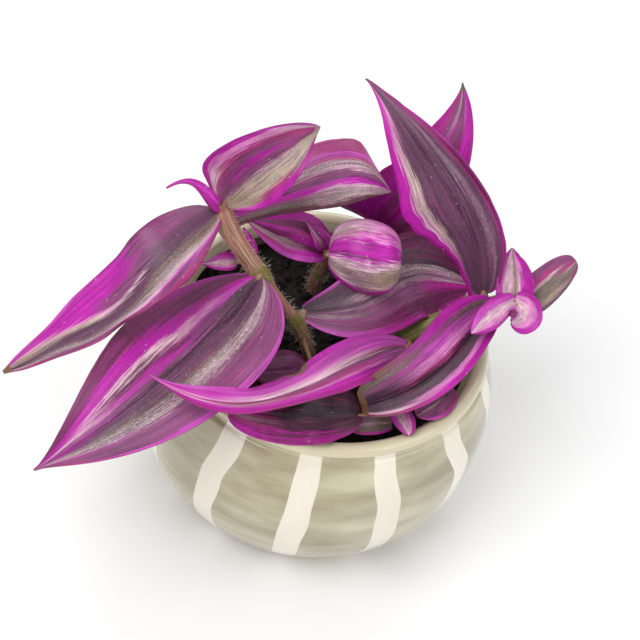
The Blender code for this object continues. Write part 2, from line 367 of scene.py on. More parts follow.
def leaf_grain_group():
    """Vein streaks: noise drawn out along the leaf, whose across position wanders a little."""
    if "Leaf Grain" in bpy.data.node_groups:
        return bpy.data.node_groups["Leaf Grain"]
    group, given, made = new_group(
        "Leaf Grain",
        [("Paint", VECTOR, None), ("Seed", FLOAT, 0.0), ("Wander", FLOAT, 0.03), ("Density", FLOAT, 60.0),
         ("Sway", FLOAT, 0.0), ("Waves", FLOAT, 1.0), ("Start", FLOAT, 0.0)],
        [("Across", FLOAT), ("Along", FLOAT), ("Streak", FLOAT), ("Fine", FLOAT), ("Cloud", FLOAT),
         ("Glint", FLOAT), ("Tear", FLOAT)],
    )
    along, across, _ = parts_of(group, given["Paint"])

    def streaks(along_scale, across_scale, detail, offset):
        place = joined(
            group, times(group, along, along_scale), times(group, across, across_scale),
            plus(group, given["Seed"], offset))
        return noise(group, place, detail, Roughness=0.6)

    slow = less(group, streaks(3.0, 2.0, 1.0, 0.0), 0.5)
    quick = less(group, streaks(14.0, 9.0, 2.0, 7.0), 0.5)
    shift = plus(group, slow, times(group, quick, 0.35))
    shift = times(group, shift, given["Wander"])
    ragged = times(group, less(group, streaks(5.0, 60.0, 2.0, 23.0), 0.5), 0.20)
    shift = plus(group, times(group, shift, 3.0), ragged)
    turn = plus(group, times(group, along, given["Waves"]), given["Start"])
    swing = calc(group, "SINE", times(group, turn, ROUND))
    inner = times(group, times(group, across, less(group, 1.0, across)), 4.0)
    swing = times(group, times(group, swing, inner), given["Sway"])
    shift = plus(group, shift, swing)
    group.links.new(plus(group, across, shift), made["Across"])
    group.links.new(along, made["Along"])
    lines = joined(group, times(group, along, 5.0), times(group, across, given["Density"]), given["Seed"])
    group.links.new(noise(group, lines, 2.0), made["Fine"])
    for name, *sizes in (
            ("Streak", 2.4, 34.0, 3.0, 3.0), ("Cloud", 5.0, 4.0, 3.0, 11.0),
            ("Glint", 70.0, 150.0, 2.0, 17.0), ("Tear", 3.5, 44.0, 3.0, 31.0)):
        group.links.new(streaks(*sizes), made[name])
    return group


def mottle_group():
    """Mottle: soft clouds and a finer grain, for glaze, soil, stems and the floor."""
    if "Mottle" in bpy.data.node_groups:
        return bpy.data.node_groups["Mottle"]
    group, given, made = new_group(
        "Mottle",
        [("Vector", VECTOR, None), ("Scale", FLOAT, 100.0), ("Low", FLOAT, 0.3), ("High", FLOAT, 0.7)],
        [("Cloud", FLOAT), ("Grain", FLOAT)],
    )
    cloud = noise(group, given["Vector"], 4.0, Scale=given["Scale"], Roughness=0.55)
    grain = noise(group, given["Vector"], 3.0, Scale=times(group, given["Scale"], 12.0), Roughness=0.7)
    made_cloud = add_node(group, "ShaderNodeMapRange", {
        "Value": cloud, "From Min": given["Low"], "From Max": given["High"]}).outputs["Result"]
    group.links.new(made_cloud, made["Cloud"])
    group.links.new(grain, made["Grain"])
    return group


def use_group(tree, group, **values):
    """The outputs of a group placed in a material with its own values."""
    node = add_node(tree, "ShaderNodeGroup", node_tree=group)
    fill(tree, node, values)
    return node.outputs


def new_material(name, roughness, coat=0.0, coat_roughness=0.1, ior=1.45, specular=0.5):
    """A material with its Principled shader, the Paint map and the object's own coordinates."""
    new = bpy.data.materials.new(name)
    new.use_nodes = True
    tree = new.node_tree
    shader = tree.nodes["Principled BSDF"]
    fill(tree, shader, {
        "Roughness": roughness, "Coat Weight": coat, "Coat Roughness": coat_roughness, "IOR": ior,
        "Specular IOR Level": specular})
    paint = add_node(tree, "ShaderNodeUVMap", uv_map="Paint").outputs[0]
    place = add_node(tree, "ShaderNodeTexCoord").outputs["Object"]
    return new, tree, shader.inputs, paint, place


def bump(tree, shader, height, strength, distance):
    """Feeds the shader's normal from a height, whose full range is the distance, in metres."""
    made = add_node(tree, "ShaderNodeBump", {"Height": height, "Strength": strength, "Distance": distance})
    tree.links.new(made.outputs[0], shader["Normal"])


def dab(ink):
    """An ink's colour with its sparkle as alpha."""
    return (*INKS[ink], SPARKLE.get(ink, LEAST_SPARKLE))


# The most of a narrow stripe's width that one soft edge takes.
NARROW_EDGE = 0.45


def stripe_ramp(tree, share, stripes, soft=0.018):
    """Colour and sparkle of (start, ink) stripes across a leaf, each with a soft edge."""
    node = add_node(tree, "ShaderNodeValToRGB", {0: share})
    stops = node.color_ramp.elements
    for stop, position, (_, ink) in ((stops[0], 0.0, stripes[0]), (stops[1], 1.0, stripes[-1])):
        stop.position = position
        stop.color = dab(ink)
    starts = [start for start, _ in stripes] + [1.0]
    for number in range(1, len(stripes)):
        start = starts[number]
        before = min(soft, (start - starts[number - 1]) * NARROW_EDGE)
        after = min(soft, (starts[number + 1] - start) * NARROW_EDGE)
        for position, (_, ink) in ((start - before, stripes[number - 1]), (start + after, stripes[number])):
            stops.new(min(max(position, 0.001), 0.999)).color = dab(ink)
    return node.outputs


def bands_along(tree, grain, bands):
    """Colour and sparkle of stripes that change from one band to the next along a leaf."""
    step = 1 / max(len(bands) - 1, 1)
    colour, sparkle = stripe_ramp(tree, grain["Across"], bands[0])
    torn = times(tree, less(tree, grain["Streak"], 0.5), 0.5)
    along = plus(tree, grain["Along"], torn)
    for number in range(1, len(bands)):
        share = smooth_step(tree, along, (number - 0.8) * step, (number - 0.2) * step)
        next_colour, next_sparkle = stripe_ramp(tree, grain["Across"], bands[number])
        colour = blend_colours(tree, share, colour, next_colour)
        change = times(tree, share, less(tree, next_sparkle, sparkle))
        sparkle = plus(tree, sparkle, change)
    return colour, sparkle


# ---------------------------------------------------------------- materials


# How many bright specks and how many cells a leaf's face has in a metre.
SPECKS = 520.0
CELLS = 2800.0


def leaf_material(name, bands, seed, spots=(), sway=(0.0, 1.0, 0.0)):
    """A leaf's upper face: stripes that change along it, thin veins, painted sparkle, and worn spots."""
    new, tree, shader, paint, place = new_material(name, 0.42, coat=0.06, coat_roughness=0.25, specular=0.32)
    grain = use_group(
        tree, leaf_grain_group(), Paint=paint, Seed=float(seed), Wander=0.035, Density=95.0,
        Sway=sway[0], Waves=sway[1], Start=sway[2])
    colour, sparkle = bands_along(tree, grain, bands)
    torn = times(tree, smooth_step(tree, grain["Tear"], 0.54, 0.44), sparkle)
    colour = blend_colours(tree, times(tree, torn, 0.75), colour, INKS["mauve"])
    colour = layer(tree, colour, grain["Tear"], 0.55, 0.68, INKS["rose"], most=0.45)
    dark = smooth_step(tree, grain["Streak"], 0.47, 0.34, 1.0, 0.62)
    light = smooth_step(tree, grain["Streak"], 0.56, 0.72, 1.0, 1.25)
    lines = smooth_step(tree, grain["Fine"], 0.35, 0.65, 0.84, 1.12)
    tone = smooth_step(tree, grain["Cloud"], 0.3, 0.7, 0.80, 1.10)
    shade = times(tree, times(tree, dark, light), times(tree, lines, tone))
    colour = tinted(tree, colour, shade)
    hairlines = times(tree, smooth_step(tree, grain["Fine"], 0.66, 0.74), 0.35)
    colour = blend_colours(tree, hairlines, colour, INKS["orchid"])
    # Painted sparkle: pale glints laid into the colour along fine streaks, as strong as each ink's sparkle.
    gleam = times(tree, smooth_step(tree, grain["Glint"], 0.52, 0.66), sparkle)
    colour = blend_colours(tree, times(tree, gleam, 0.62), colour, srgb(236, 214, 220))
    speck = add_node(tree, "ShaderNodeTexVoronoi", {"Vector": place, "Scale": SPECKS}).outputs
    chance = parts_of(tree, speck["Color"])[0]
    few = calc(tree, "GREATER_THAN", chance, 0.82)
    dots = times(tree, smooth_step(tree, speck["Distance"], 0.10, 0.05), few)
    colour = blend_colours(tree, times(tree, dots, 0.6), colour, srgb(238, 220, 226))
    for *centre, reach_along, reach_across, ink in spots:
        off_along, off_across = (
            calc(tree, "DIVIDE", less(tree, grain[name], middle), reach)
            for name, middle, reach in zip(("Along", "Across"), centre, (reach_along, reach_across)))
        off = plus(tree, times(tree, off_along, off_along), times(tree, off_across, off_across))
        colour = layer(tree, colour, plus(tree, off, grain["Cloud"]), 1.7, 1.1, INKS[ink])
    tree.links.new(colour, shader["Base Color"])
    tree.links.new(smooth_step(tree, grain["Fine"], 0.3, 0.7, 0.34, 0.52), shader["Roughness"])
    cells = add_node(tree, "ShaderNodeTexVoronoi", {"Vector": place, "Scale": CELLS}).outputs["Distance"]
    relief = plus(tree, grain["Fine"], times(tree, cells, 0.5))
    bump(tree, shader, relief, 0.35, 0.00008)
    return new


def underside_material():
    """The leaves' undersides: dull maroon purple with raised, paler veins."""
    if "leaf_back_skin" in bpy.data.materials:
        return bpy.data.materials["leaf_back_skin"]
    new, tree, shader, paint, place = new_material("leaf_back_skin", 0.5, specular=0.3)
    grain = use_group(tree, leaf_grain_group(), Paint=paint, Seed=41.0, Wander=0.03, Density=70.0)
    colour = layer(tree, srgb(104, 40, 74), grain["Streak"], 0.38, 0.62, srgb(150, 62, 112))
    colour = layer(tree, colour, grain["Fine"], 0.55, 0.75, srgb(176, 120, 130), most=0.4)
    tree.links.new(colour, shader["Base Color"])
    bump(tree, shader, grain["Fine"], 0.4, 0.0001)
    return new


def pot_material(pot):
    """Gloss glaze: greyed sage between brushed pale stripes, a cream rim, and a bare clay foot."""
    new, tree, shader, paint, place = new_material(
        "brushed_glaze", 0.16, coat=0.6, coat_roughness=0.06, ior=1.5)
    mottle = use_group(tree, mottle_group(), Vector=place, Scale=45.0, Low=0.32, High=0.68)
    upright = add_node(tree, "ShaderNodeMapping", {0: place, 3: (1.0, 1.0, 0.22)}).outputs[0]
    brush = use_group(tree, mottle_group(), Vector=upright, Scale=170.0, Low=0.35, High=0.65)
    level = add_node(tree, "ShaderNodeMapping", {0: place, 3: (0.30, 0.30, 1.5)}).outputs[0]
    wash_and_highlight = use_group(tree, mottle_group(), Vector=level, Scale=70.0, Low=0.36, High=0.64)
    parts = parts_of(tree, paint)
    edge = plus(tree, parts[0], times(tree, less(tree, brush["Cloud"], 0.5), 0.05))
    # The pale end of these horizontal bands is partly the glaze's own uneven colour and partly a painted
    # highlight that lightens the glaze.
    sage = blend_colours(tree, times(tree, wash_and_highlight["Cloud"], 0.9), pot.glaze, srgb(214, 206, 175))
    sage = blend_colours(tree, times(tree, mottle["Cloud"], 0.45), sage, srgb(142, 131, 100))
    pale = blend_colours(tree, times(tree, brush["Cloud"], 0.35), pot.stripe, srgb(222, 208, 190))
    colour = layer(tree, sage, edge, 0.47, 0.53, pale)
    cream = blend_colours(tree, times(tree, mottle["Cloud"], 0.5), pot.rim, srgb(196, 184, 152))
    height = parts_of(tree, place)[2]
    wave = times(tree, less(tree, brush["Cloud"], 0.5), 0.0006)
    glaze_edge = plus(tree, height, wave)
    colour = layer(tree, colour, parts[1], 0.45, 0.55, cream)
    clay = blend_colours(tree, mottle["Grain"], srgb(196, 172, 144), srgb(168, 142, 116))
    glazed = smooth_step(tree, glaze_edge, 0.0012, 0.0018)
    colour = blend_colours(tree, glazed, clay, colour)
    tree.links.new(colour, shader["Base Color"])
    tree.links.new(smooth_step(tree, glazed, 0.0, 1.0, 0.8, 0.17), shader["Roughness"])
    tree.links.new(times(tree, glazed, 0.6), shader["Coat Weight"])
    relief = plus(tree, times(tree, edge, 0.5), times(tree, mottle["Cloud"], 0.3))
    bump(tree, shader, relief, 0.25, 0.0003)
    return new


def soil_material(pot, name, lift=1.0):
    """Damp potting mix: near black, with brown fibres and a little grit."""
    new, tree, shader, paint, place = new_material(name, 0.9)
    mottle = use_group(tree, mottle_group(), Vector=place, Scale=240.0, Low=0.35, High=0.7)
    light = tuple(channel * lift for channel in srgb(48, 36, 32))
    colour = blend_colours(tree, times(tree, mottle["Cloud"], 0.6), pot.soil, light)
    colour = layer(tree, colour, mottle["Grain"], 0.60, 0.78, srgb(80, 62, 50), most=0.5)
    tree.links.new(colour, shader["Base Color"])
    bump(tree, shader, mottle["Grain"], 0.6, 0.0004)
    return new


def stem_material(name, plant, joints, seed, green_share=0.0):
    """A fleshy stem: long ridged streaks, green at its joints, which are places along it."""
    new, tree, shader, paint, place = new_material(name, 0.5, coat=0.1, coat_roughness=0.3)
    parts = parts_of(tree, paint)
    mottle = use_group(tree, mottle_group(), Vector=place, Scale=300.0, Low=0.3, High=0.7)
    lines = joined(tree, times(tree, parts[0], 3.0), times(tree, parts[1], 26.0), float(seed))
    streak = noise(tree, lines, 3.0)
    colour = layer(tree, plant.flesh, streak, 0.44, 0.56, srgb(122, 82, 60))
    colour = layer(tree, colour, streak, 0.56, 0.64, srgb(222, 194, 160), most=0.85)
    share = green_share
    for centre, reach in joints:
        off = calc(tree, "ABSOLUTE", less(tree, parts[0], centre))
        share = calc(tree, "MAXIMUM", smooth_step(tree, off, reach, reach * 0.45), share)
    green = blend_colours(tree, mottle["Cloud"], plant.green, srgb(112, 104, 48))
    colour = blend_colours(tree, share, colour, green)
    tree.links.new(colour, shader["Base Color"])
    bump(tree, shader, plus(tree, streak, times(tree, mottle["Grain"], 0.3)), 0.5, 0.0003)
    return new


def hair_material():
    """The stems' hairs: straw at the root and nearly white at the tip."""
    if "hair_skin" in bpy.data.materials:
        return bpy.data.materials["hair_skin"]
    new, tree, shader, paint, place = new_material("hair_skin", 0.6)
    along = parts_of(tree, paint)[0]
    colour = blend_colours(tree, along, srgb(196, 182, 150), srgb(242, 238, 226))
    tree.links.new(colour, shader["Base Color"])
    return new


def dried_material():
    """Dried leaf: papery brown with dark fibres."""
    new, tree, shader, paint, place = new_material("dried_leaf_skin", 0.8)
    grain = use_group(tree, leaf_grain_group(), Paint=paint, Seed=63.0, Wander=0.05, Density=40.0)
    colour = layer(tree, srgb(150, 112, 82), grain["Streak"], 0.35, 0.65, srgb(86, 48, 46))
    colour = layer(tree, colour, grain["Fine"], 0.6, 0.75, srgb(190, 158, 120))
    tree.links.new(colour, shader["Base Color"])
    bump(tree, shader, grain["Fine"], 0.7, 0.0002)
    return new


# ---------------------------------------------------------------- stripes

# Each finish lists the inks across a leaf, with the share of the width where each one ends; 0 is
# the leaf's left edge and 1 its right. Its strings run from the base to the tip.
FINISHES = {
    "broad": (
        "orchid .03 mauve .24 silver .31 dusk .45 plum .50 slate .62"
        " orchid .67 magenta .74 berry .93 magenta",
        "orchid .03 mauve .23 silver .32 moss .35 dusk .47 plum .51"
        " mauve .55 magenta .58 berry .65 blush .70"
        " magenta .83 berry",
        "rose .03 mauve .20 magenta .23 silver .34 dusk .40 magenta .43 plum .47 magenta .50 mauve .56"
        " blush .62 magenta .80 berry"),
    "drooping": (
        "rose .12 mauve .20 orchid .27 blush .32 olive .40 moss .54 dusk .80 mauve",
        "rose .12 mauve .20 orchid .26 blush .31 silver .39 moss .50 dusk .74 mauve .95 berry",
        "rose .12 mauve .20 magenta .26 blush .32 silver .40 moss .48"
        " dusk .62 blush .66 mauve .80 magenta",
        "rose .12 mauve .21 silver .31 moss .36 dusk .60 cream .66 pink .70 magenta .97 orchid",
        "rose .14 silver .24 plum .48 olive .72 cream .75 magenta .97 pink"),
    "top": (
        "magenta .10 blush .22 rose .30 mauve .50 olive .88 magenta",
        "magenta .07 pink .17 rose .24 mauve .34 magenta .40 mauve .52"
        " silver .58 celadon .80 rose .88 magenta",
        "orchid .06 blush .14 rose .34 mauve .44 rose .50 celadon .76 silver .86 rose .94 magenta"),
    "back": (
        "mauve .30 silver .38 mauve .56 plum .60 magenta .72 mauve .80 moss .90 maroon",
        "rose .18 orchid .25 rose .30 silver .42 blush .46 mauve .60 plum .62 magenta .72 blush .76"
        " silver .92 maroon"),
    "left": (
        "orchid .14 magenta .26 wine .40 magenta .52 rose .62 wine .78 orchid",
        "orchid .12 rose .22 silver .36 wine .52 magenta .62 mauve .80 magenta"),
    "rolled": (
        "magenta .12 orchid .17 blush .28 olive .31 pink .36 magenta .50 wine .515 orchid .55 blush .60"
        " silver .72 blush .77 magenta",
        "magenta .14 pink .30 magenta .33 pink .38 magenta .54 blush .60 olive .72 cream .78 magenta"),
    "low": (
        "orchid .06 slate .50 dusk .62 silver .66 mauve .90 orchid",
        "wine .16 slate .36 silver .45 dusk .52 silver .56 mauve .76 wine .92 hot",
        "wine .30 plum .38 silver .46 mauve .52 silver .56 hot .70 wine .94 hot"),
    "tall": (
        "hot .11 orchid .15 dusk .62 haze .68 dusk .84 magenta",
        "magenta .10 blush .13 cream .17 dusk .40 plum .415 dusk .55 haze .64"
        " dusk .76 rose .80 wine .93 magenta",
        "magenta .14 pink .20 dusk .48 haze .58 mauve .70 rose .80 magenta"),
    "folded": (
        "magenta .20 orchid .28 slate .40 ink .50 orchid .72 mauve .78 moss .86 magenta",
        "magenta .16 pink .25 slate .41 ink .52 rose .58 pink .70 orchid .82 mauve .88 magenta",
        "rose .10 blush .16 slate .42 ink .46 plum .70 mauve .80 moss .92 dried"),
    "long": (
        "magenta .10 hot .20 mauve .32 orchid .37 dusk .50 rose .56 orchid .72 mauve .76 orchid",
        "hot .12 magenta .24 pink .28 rose .38 mauve .46 blush .60 pink .68 orchid .86 magenta",
        "hot .18 magenta .30 blush .34 rose .44 pink .54 magenta .80 orchid"),
    "behind": (
        "magenta .30 hot .50 berry .80 magenta",
        "hot .14 magenta .30 mauve .40 magenta .52 mauve .60 berry .72 magenta",
        "magenta .14 rose .26 mauve .38 haze .43 blush .46 mauve .66 orchid .74 magenta"),
    "wavy": (
        "hot .06 wine .14 claret .56 ink .70 claret .90 wine",
        "hot .14 wine .20 hot .26 claret .46 ink .74 claret .92 wine",
        "magenta .14 hot .24 rose .34 haze .42 rose .48 hot .60 claret .92 wine"),
    "pink": (
        "magenta .16 pink .34 blush .60 orchid .80 magenta",
        "magenta .22 pink .40 blush .66 orchid"),
    "fan": (
        "orchid .22 blush .50 olive .58 blush .66 magenta",
        "magenta .30 blush .52 olive .60 pink .74 magenta"),
    "green": (
        "rose .18 olive .32 moss .70 olive .90 moss",
        "mauve .20 rose .36 blush .44 moss .80 olive .92 dusk",
        "mauve .42 rose .60 silver .66 moss .82 mauve"),
    "grey": (
        "magenta .14 moss .45 silver .58 moss .90 silver",
        "rose .16 moss .38 silver .55 mauve .85 rose"),
    "plum": (
        "rose .10 mauve .34 dusk .60 rose .68 mauve .90 orchid",
        "orchid .10 mauve .40 silver .48 wine .85 orchid"),
    "plain": (
        "wine .12 mauve .88 wine",),
    "magenta": (
        "hot .20 magenta .60 orchid .75 magenta",
        "magenta .40 orchid .60 magenta"),
}

# How far a finish's stripes sway across the leaf, how many waves, and where the first one starts.
SWAYS = {"drooping": (0.085, 1.6, 0.35), "tall": (0.02, 2.0, 0.0), "broad": (0.015, 1.0, 0.0)}

# Dried or bruised places on a finish: along, across, reach along, reach across, ink.
SPOTS = {
    "drooping": ((1.0, 0.5, 0.022, 2.0, "dried"),),
    "top": ((1.0, 0.5, 0.05, 2.0, "silver"),),
    "folded": ((1.0, 0.5, 0.03, 2.0, "dried"), (0.93, -0.02, 0.08, 0.05, "dried")),
    "long": ((0.45, 1.0, 0.06, 0.12, "dried"),),
    "tall": ((1.0, 0.5, 0.02, 2.0, "moss"),),
    "behind": ((1.0, 0.5, 0.05, 2.0, "moss"),),
}


EVEN = ((0, 0), (1, 0))


def leaf(points, face, width, cup, finish, **more):
    """One row of the leaf table. Face is the upper face's direction at the base and at the tip."""
    row = {
        "points": points, "face": face, "width": width, "cup": cup, "finish": finish,
        "skew": 0.0, "outline": (0.6, 1.1), "base": 2.4, "fold": 0.0, "wave": (0.0, 1.0, 0.0),
        "left": EVEN, "right": EVEN, "dents": (), "ruffle": 0.25, "level": False, "grid": (96, 48),
    }
    row.update(more)
    return row


UP_FRONT = ((0, -0.6, 0.8), (0, -0.6, 0.8))
SMALL = (40, 24)

WEST_LEAVES = {
    "west_drooping": leaf(
        ((-33, -4, 86), (-43, -25.5, 80.5), (-55.5, -30, 64), (-75.5, -40.5, 51)),
        ((0, -0.6, 0.8), (-0.2, -0.6, 0.6)), 16.6, (-23, 13), "drooping",
        skew=0.4, outline=(0.4, 0.8), wave=(2.6, 1.6, 0.1), base=4, grid=(120, 56),
        left=(
            (0, 0), (0.22, 0.9), (0.42, -0.6), (0.54, -1.3), (0.7, 0.3), (0.84, 0.1), (0.95, 0.6), (1, 0.3)),
        right=((0, 0), (0.82, 0), (0.95, 0.5), (1, 0.2))),
    "west_broad": leaf(
        ((-19.5, -10, 73), (-31, -31, 66), (-45, -50, 57), (-62, -60, 41)),
        ((-0.5, -0.4, 0.7), (-0.4, -0.7, 0.5)), 39, (-13, 20), "broad",
        outline=(0.6, 1.3), base=4, grid=(140, 96)),
    "west_top": leaf(
        ((-32.5, -1.5, 85.5), (-27.5, 2.5, 93), (-20.5, 3.5, 102), (-13, 13, 105)),
        ((0.3, -0.8, 0.5), (0.2, -0.9, 0.2)), 21.6, (45, 35), "top",
        skew=-0.2, outline=(0.6, 0.9), left=((0, 0), (0.3, 0.8), (1, 0)), base=4, grid=(96, 64)),
    "west_curl": leaf(
        ((-32.5, -2.5, 86), (-35.5, -4.5, 90.5), (-40, -3.5, 93), (-46, -6.5, 92)),
        ((0.3, -0.5, 0.8), (0, -0.5, 0.8)), 2.6, (30, 20), "magenta",
        outline=(0.5, 1.4), base=3.0, grid=SMALL, ruffle=0.0),
    "west_back": leaf(
        ((-30, 1, 82), (-17, 14.5, 82), (-4, 19, 88), (8, 25, 79)),
        ((0, -0.7, 0.7), (0.1, -0.1, 0.8)), 18, (10, -34), "back",
        skew=-0.1, outline=(1.4, 0.8), base=6,
        left=((0, 0), (0.6, 0), (0.85, 2.2), (0.96, 2.0), (1, 0)),
        right=((0, 1.2), (0.45, 1.0), (1, 0)), grid=(96, 64)),
    "west_sheath": leaf(
        ((-22.5, -1.2, 71.5), (-23.5, -0.5, 74), (-25, 0.3, 76), (-26.5, 1, 77.5)),
        ((0.3, -0.7, 0.5), (0.3, -0.7, 0.5)), 1.5, (40, 20), "magenta", base=1.6, grid=SMALL, ruffle=0.05),
    "west_small": leaf(
        ((-26, -6, 72), (-28.5, -8, 73.5), (-31, -10, 74), (-34.5, -10.5, 73.5)),
        UP_FRONT, 4.5, (20, 10), "pink", grid=SMALL, ruffle=0.05),
}

CENTRE_LEAVES = {
    "centre_left": leaf(
        ((-4.5, 15.5, 62), (-11, 13, 67), (-18.5, 13.5, 67.5), (-27.5, 14, 68.5)),
        ((0, -0.5, 0.9), (0, -0.6, 0.8)), 13, (24, 12), "left",
        outline=(0.7, 1.0), base=5, grid=(80, 48)),
    "centre_rolled": leaf(
        ((-4, 8.3, 67.7), (0.5, 4, 74.2), (10, 4.2, 74.8), (14.5, 11.2, 69.3)),
        ((0, -0.7, 0.7), (0, -0.7, 0.7)), 38, (-112, -112), "rolled",
        outline=(0.85, 0.7), base=2, level=True, grid=(110, 120), ruffle=0.06),
    "centre_bud": leaf(
        ((-3, 14, 62), (-4.5, 12, 67), (-7.5, 12, 70.5), (-12, 14.5, 72)),
        ((-0.3, -0.6, 0.6), (-0.5, -0.6, 0.6)), 6, (50, 30), "left", base=3, grid=SMALL, ruffle=0.1),
    "centre_low": leaf(
        ((-7.5, -2.5, 56), (9.5, 3.5, 60.5), (18, 16, 59), (35, 22.5, 55)),
        ((0, -0.7, 0.7), (0, -0.6, 0.8)), 23, (13, 12), "low", outline=(0.6, 0.5),
        left=((0, 0), (0.6, 0), (0.9, 3), (1, 2)), right=((0, 0), (0.5, 0), (0.85, 3), (1, 1)),
        base=3, grid=(110, 80)),
}

EAST_LEAVES = {
    "east_tall": leaf(
        ((38, 12.3, 62.5), (30, 18, 82), (13, 29, 95), (-5, 40.5, 101)),
        ((-0.6, -0.5, 0.2), (-0.3, -0.6, 0.5)), 29.8, (7, 11), "tall",
        skew=-0.42, outline=(0.5, 1.4), grid=(140, 88), base=5, level=True,
        left=((0, -1), (0.05, -6), (0.1, -9.5), (0.2, -11), (0.27, -9.5), (0.33, -6.5), (0.4, -2.5),
              (0.46, -0.3), (0.6, -0.8), (0.8, -1), (1, 0)),
        right=((0, 1), (0.1, -1.2), (0.3, -1.1), (0.5, 0), (1, 0)),
        wave=(0.9, 2.2, 0.2)),
    "east_folded": leaf(
        ((41.5, 8.5, 63.5), (34, -5, 60.5), (26, -21, 62), (12, -29.5, 56.5)),
        ((-0.1, -0.5, 0.8), (0.1, -0.6, 0.7)), 18, (8, 11), "folded",
        fold=28, skew=0.2, outline=(0.4, 0.34), base=4, grid=(110, 64)),
    "east_long": leaf(
        ((21.5, -4, 54), (6.5, -23.5, 63.5), (-11, -46, 70), (-39, -46, 69)),
        ((0, -0.1, 0.7), (-0.6, -0.1, 0.3)), 17.4, (-14, 13), "long",
        outline=(0.7, 1.2), grid=(130, 56), base=4, dents=((0.46, 1, 0.035, 0.22),)),
    "east_blunt": leaf(
        ((46.5, 10.5, 63), (51.5, 15, 65.5), (55.3, 19, 69), (59.5, 24, 71)),
        UP_FRONT, 8.8, (16, 10), "green", outline=(0.35, 0.4), base=8, grid=(60, 32), ruffle=0.1),
    "east_fan": leaf(
        ((45, 10, 63.5), (44.5, 12.6, 68), (43, 15.3, 72), (42, 18.5, 75.2)),
        ((0.2, -0.8, 0.6), (0.2, -0.8, 0.6)), 10, (40, 30), "fan", outline=(0.5, 0.9),
        base=7, grid=(60, 32), ruffle=0.2),
    "east_curled": leaf(
        ((46, 10, 65.5), (42, 3.5, 67.5), (39, -1.5, 67.5), (35.7, -5, 65)),
        ((0.2, -0.6, 0.8), (0.2, -0.6, 0.8)), 7.5, (-50, -30), "pink", base=5,
        outline=(0.6, 0.7), grid=(60, 32), ruffle=0.2),
    "east_pouch": leaf(
        ((45.5, 9.5, 65), (48, 8, 64.5), (48.5, 6.5, 63), (46, 5.5, 61.5)),
        ((0.3, -0.6, 0.7), (0.3, -0.6, 0.7)), 10, (50, 40), "pink", outline=(0.5, 0.5),
        base=5, grid=(60, 32), ruffle=0.2),
}

BACK_LEAVES = {
    "back_tall": leaf(
        ((9, 36, 54), (14, 34, 68), (20, 42, 84), (20, 53, 97)),
        ((-0.1, -0.9, 0.5), (-0.1, -0.9, 0.4)), 21.5, (32, 22), "behind",
        outline=(0.6, 1.2), left=((0, 12), (0.2, 11), (0.3, 6), (0.4, 1.5), (0.5, 0), (1, 0)),
        grid=(110, 72)),
}

FRONT_LEAVES = {
    "front_wavy": leaf(
        ((13, -31, 54.8), (4, -37, 57.2), (-7, -40, 57.8), (-19.5, -39.5, 56)),
        UP_FRONT, 13.5, (-14, -14), "wavy",
        right=((0, 3.5), (0.25, 5), (0.6, 4.4), (0.85, 1), (1, 0)),
        outline=(0.5, 0.35), wave=(1.6, 2.6, 0.1), grid=(130, 56), ruffle=0.8),
    "front_small": leaf(
        ((21, -26, 48.5), (17.5, -28.5, 50), (13.5, -30.5, 50.5), (10, -32, 50.5)),
        UP_FRONT, 5.5, (20, 10), "grey", outline=(0.5, 0.5), grid=SMALL, ruffle=0.05),
    "front_plum": leaf(
        ((33, -14, 53), (32, -18.5, 54.5), (29.5, -22.5, 54.5), (26.5, -26.5, 54)),
        UP_FRONT, 9, (20, 10), "plum", outline=(0.6, 0.6), grid=(60, 32), ruffle=0.1),
    "front_bud": leaf(
        ((20, -23.5, 52), (22, -26.5, 53), (24, -29.5, 53.5), (25.5, -32.5, 53)),
        UP_FRONT, 6, (60, 60), "pink", outline=(0.6, 0.5), base=3, grid=SMALL, ruffle=0.1),
    "front_low": leaf(
        ((-3, -19, 53), (-8, -21.5, 54), (-13, -23.5, 54), (-18, -24.5, 54)),
        UP_FRONT, 10, (10, 10), "plain", grid=(60, 40)),
}

DRIED = leaf(
    ((5, -27.5, 54), (7, -29, 55), (9.5, -29.5, 54.5), (13, -29, 53.5)),
    UP_FRONT, 3.6, (50, 30), "dried", grid=(50, 30), ruffle=0.6)

# Name: four points from soil to tip; (place along, radius) stations; joints; hair share; green share.
STEMS = {
    "west": (
        ((-3, -4.5, 41), (-9, -6.5, 57), (-20, -7.5, 71.5), (-32.2, -3.6, 85)),
        ((0, 1.9), (0.25, 1.8), (0.31, 1.9), (0.35, 1.9), (0.40, 1.25), (0.57, 1.25), (0.62, 2.3),
         (0.68, 2.5), (0.74, 2.2), (0.9, 2.5), (1, 2.9)),
        ((0.33, 0.06), (0.655, 0.07)), 1.0, 0.0),
    "centre": (
        ((-6, 20, 41), (-6, 18, 49), (-5, 16, 56), (-4, 13, 65)),
        ((0, 2.0), (0.5, 1.9), (1, 1.7)),
        ((0.5, 0.1),), 0.5, 0.0),
    "east": (
        ((15, 0, 42), (20, 4, 49), (31, 9, 55), (45, 11, 64)),
        ((0, 2.6), (0.3, 2.4), (0.6, 2.3), (1, 2.4)),
        ((0.3, 0.1),), 0.4, 1.0),
    "back": (
        ((8, 26, 41), (8, 30, 47), (9, 33, 51), (10, 37, 55)),
        ((0, 1.6), (1, 1.3)), (), 0.3, 0.6),
    "front": (
        ((20, -14, 42), (20, -18, 46), (19, -21, 48), (19, -24, 51)),
        ((0, 1.6), (1, 1.2)), (), 0.3, 0.3),
}


def read_stripes(text):
    words = text.split()
    return list(zip([0.0] + [float(word) for word in words[1::2]], words[::2]))


# ---------------------------------------------------------------- leaf shapes


# In mm: the width of a leaf that has all its veins, the width under which a leaf has the fewest,
# the half width that a tip keeps, and the midrib groove's reach and depth.
FULL_WIDTH = 20
NARROW_LEAF = 7
TIP_HALF = 0.22
GROOVE_REACH = 0.5
GROOVE_DEPTH = 0.22
# How much closer together the sections' points stand at the edges, and how thin the edge is.
EDGE_CROWDING = 0.12
EDGE_THINNESS = 0.3


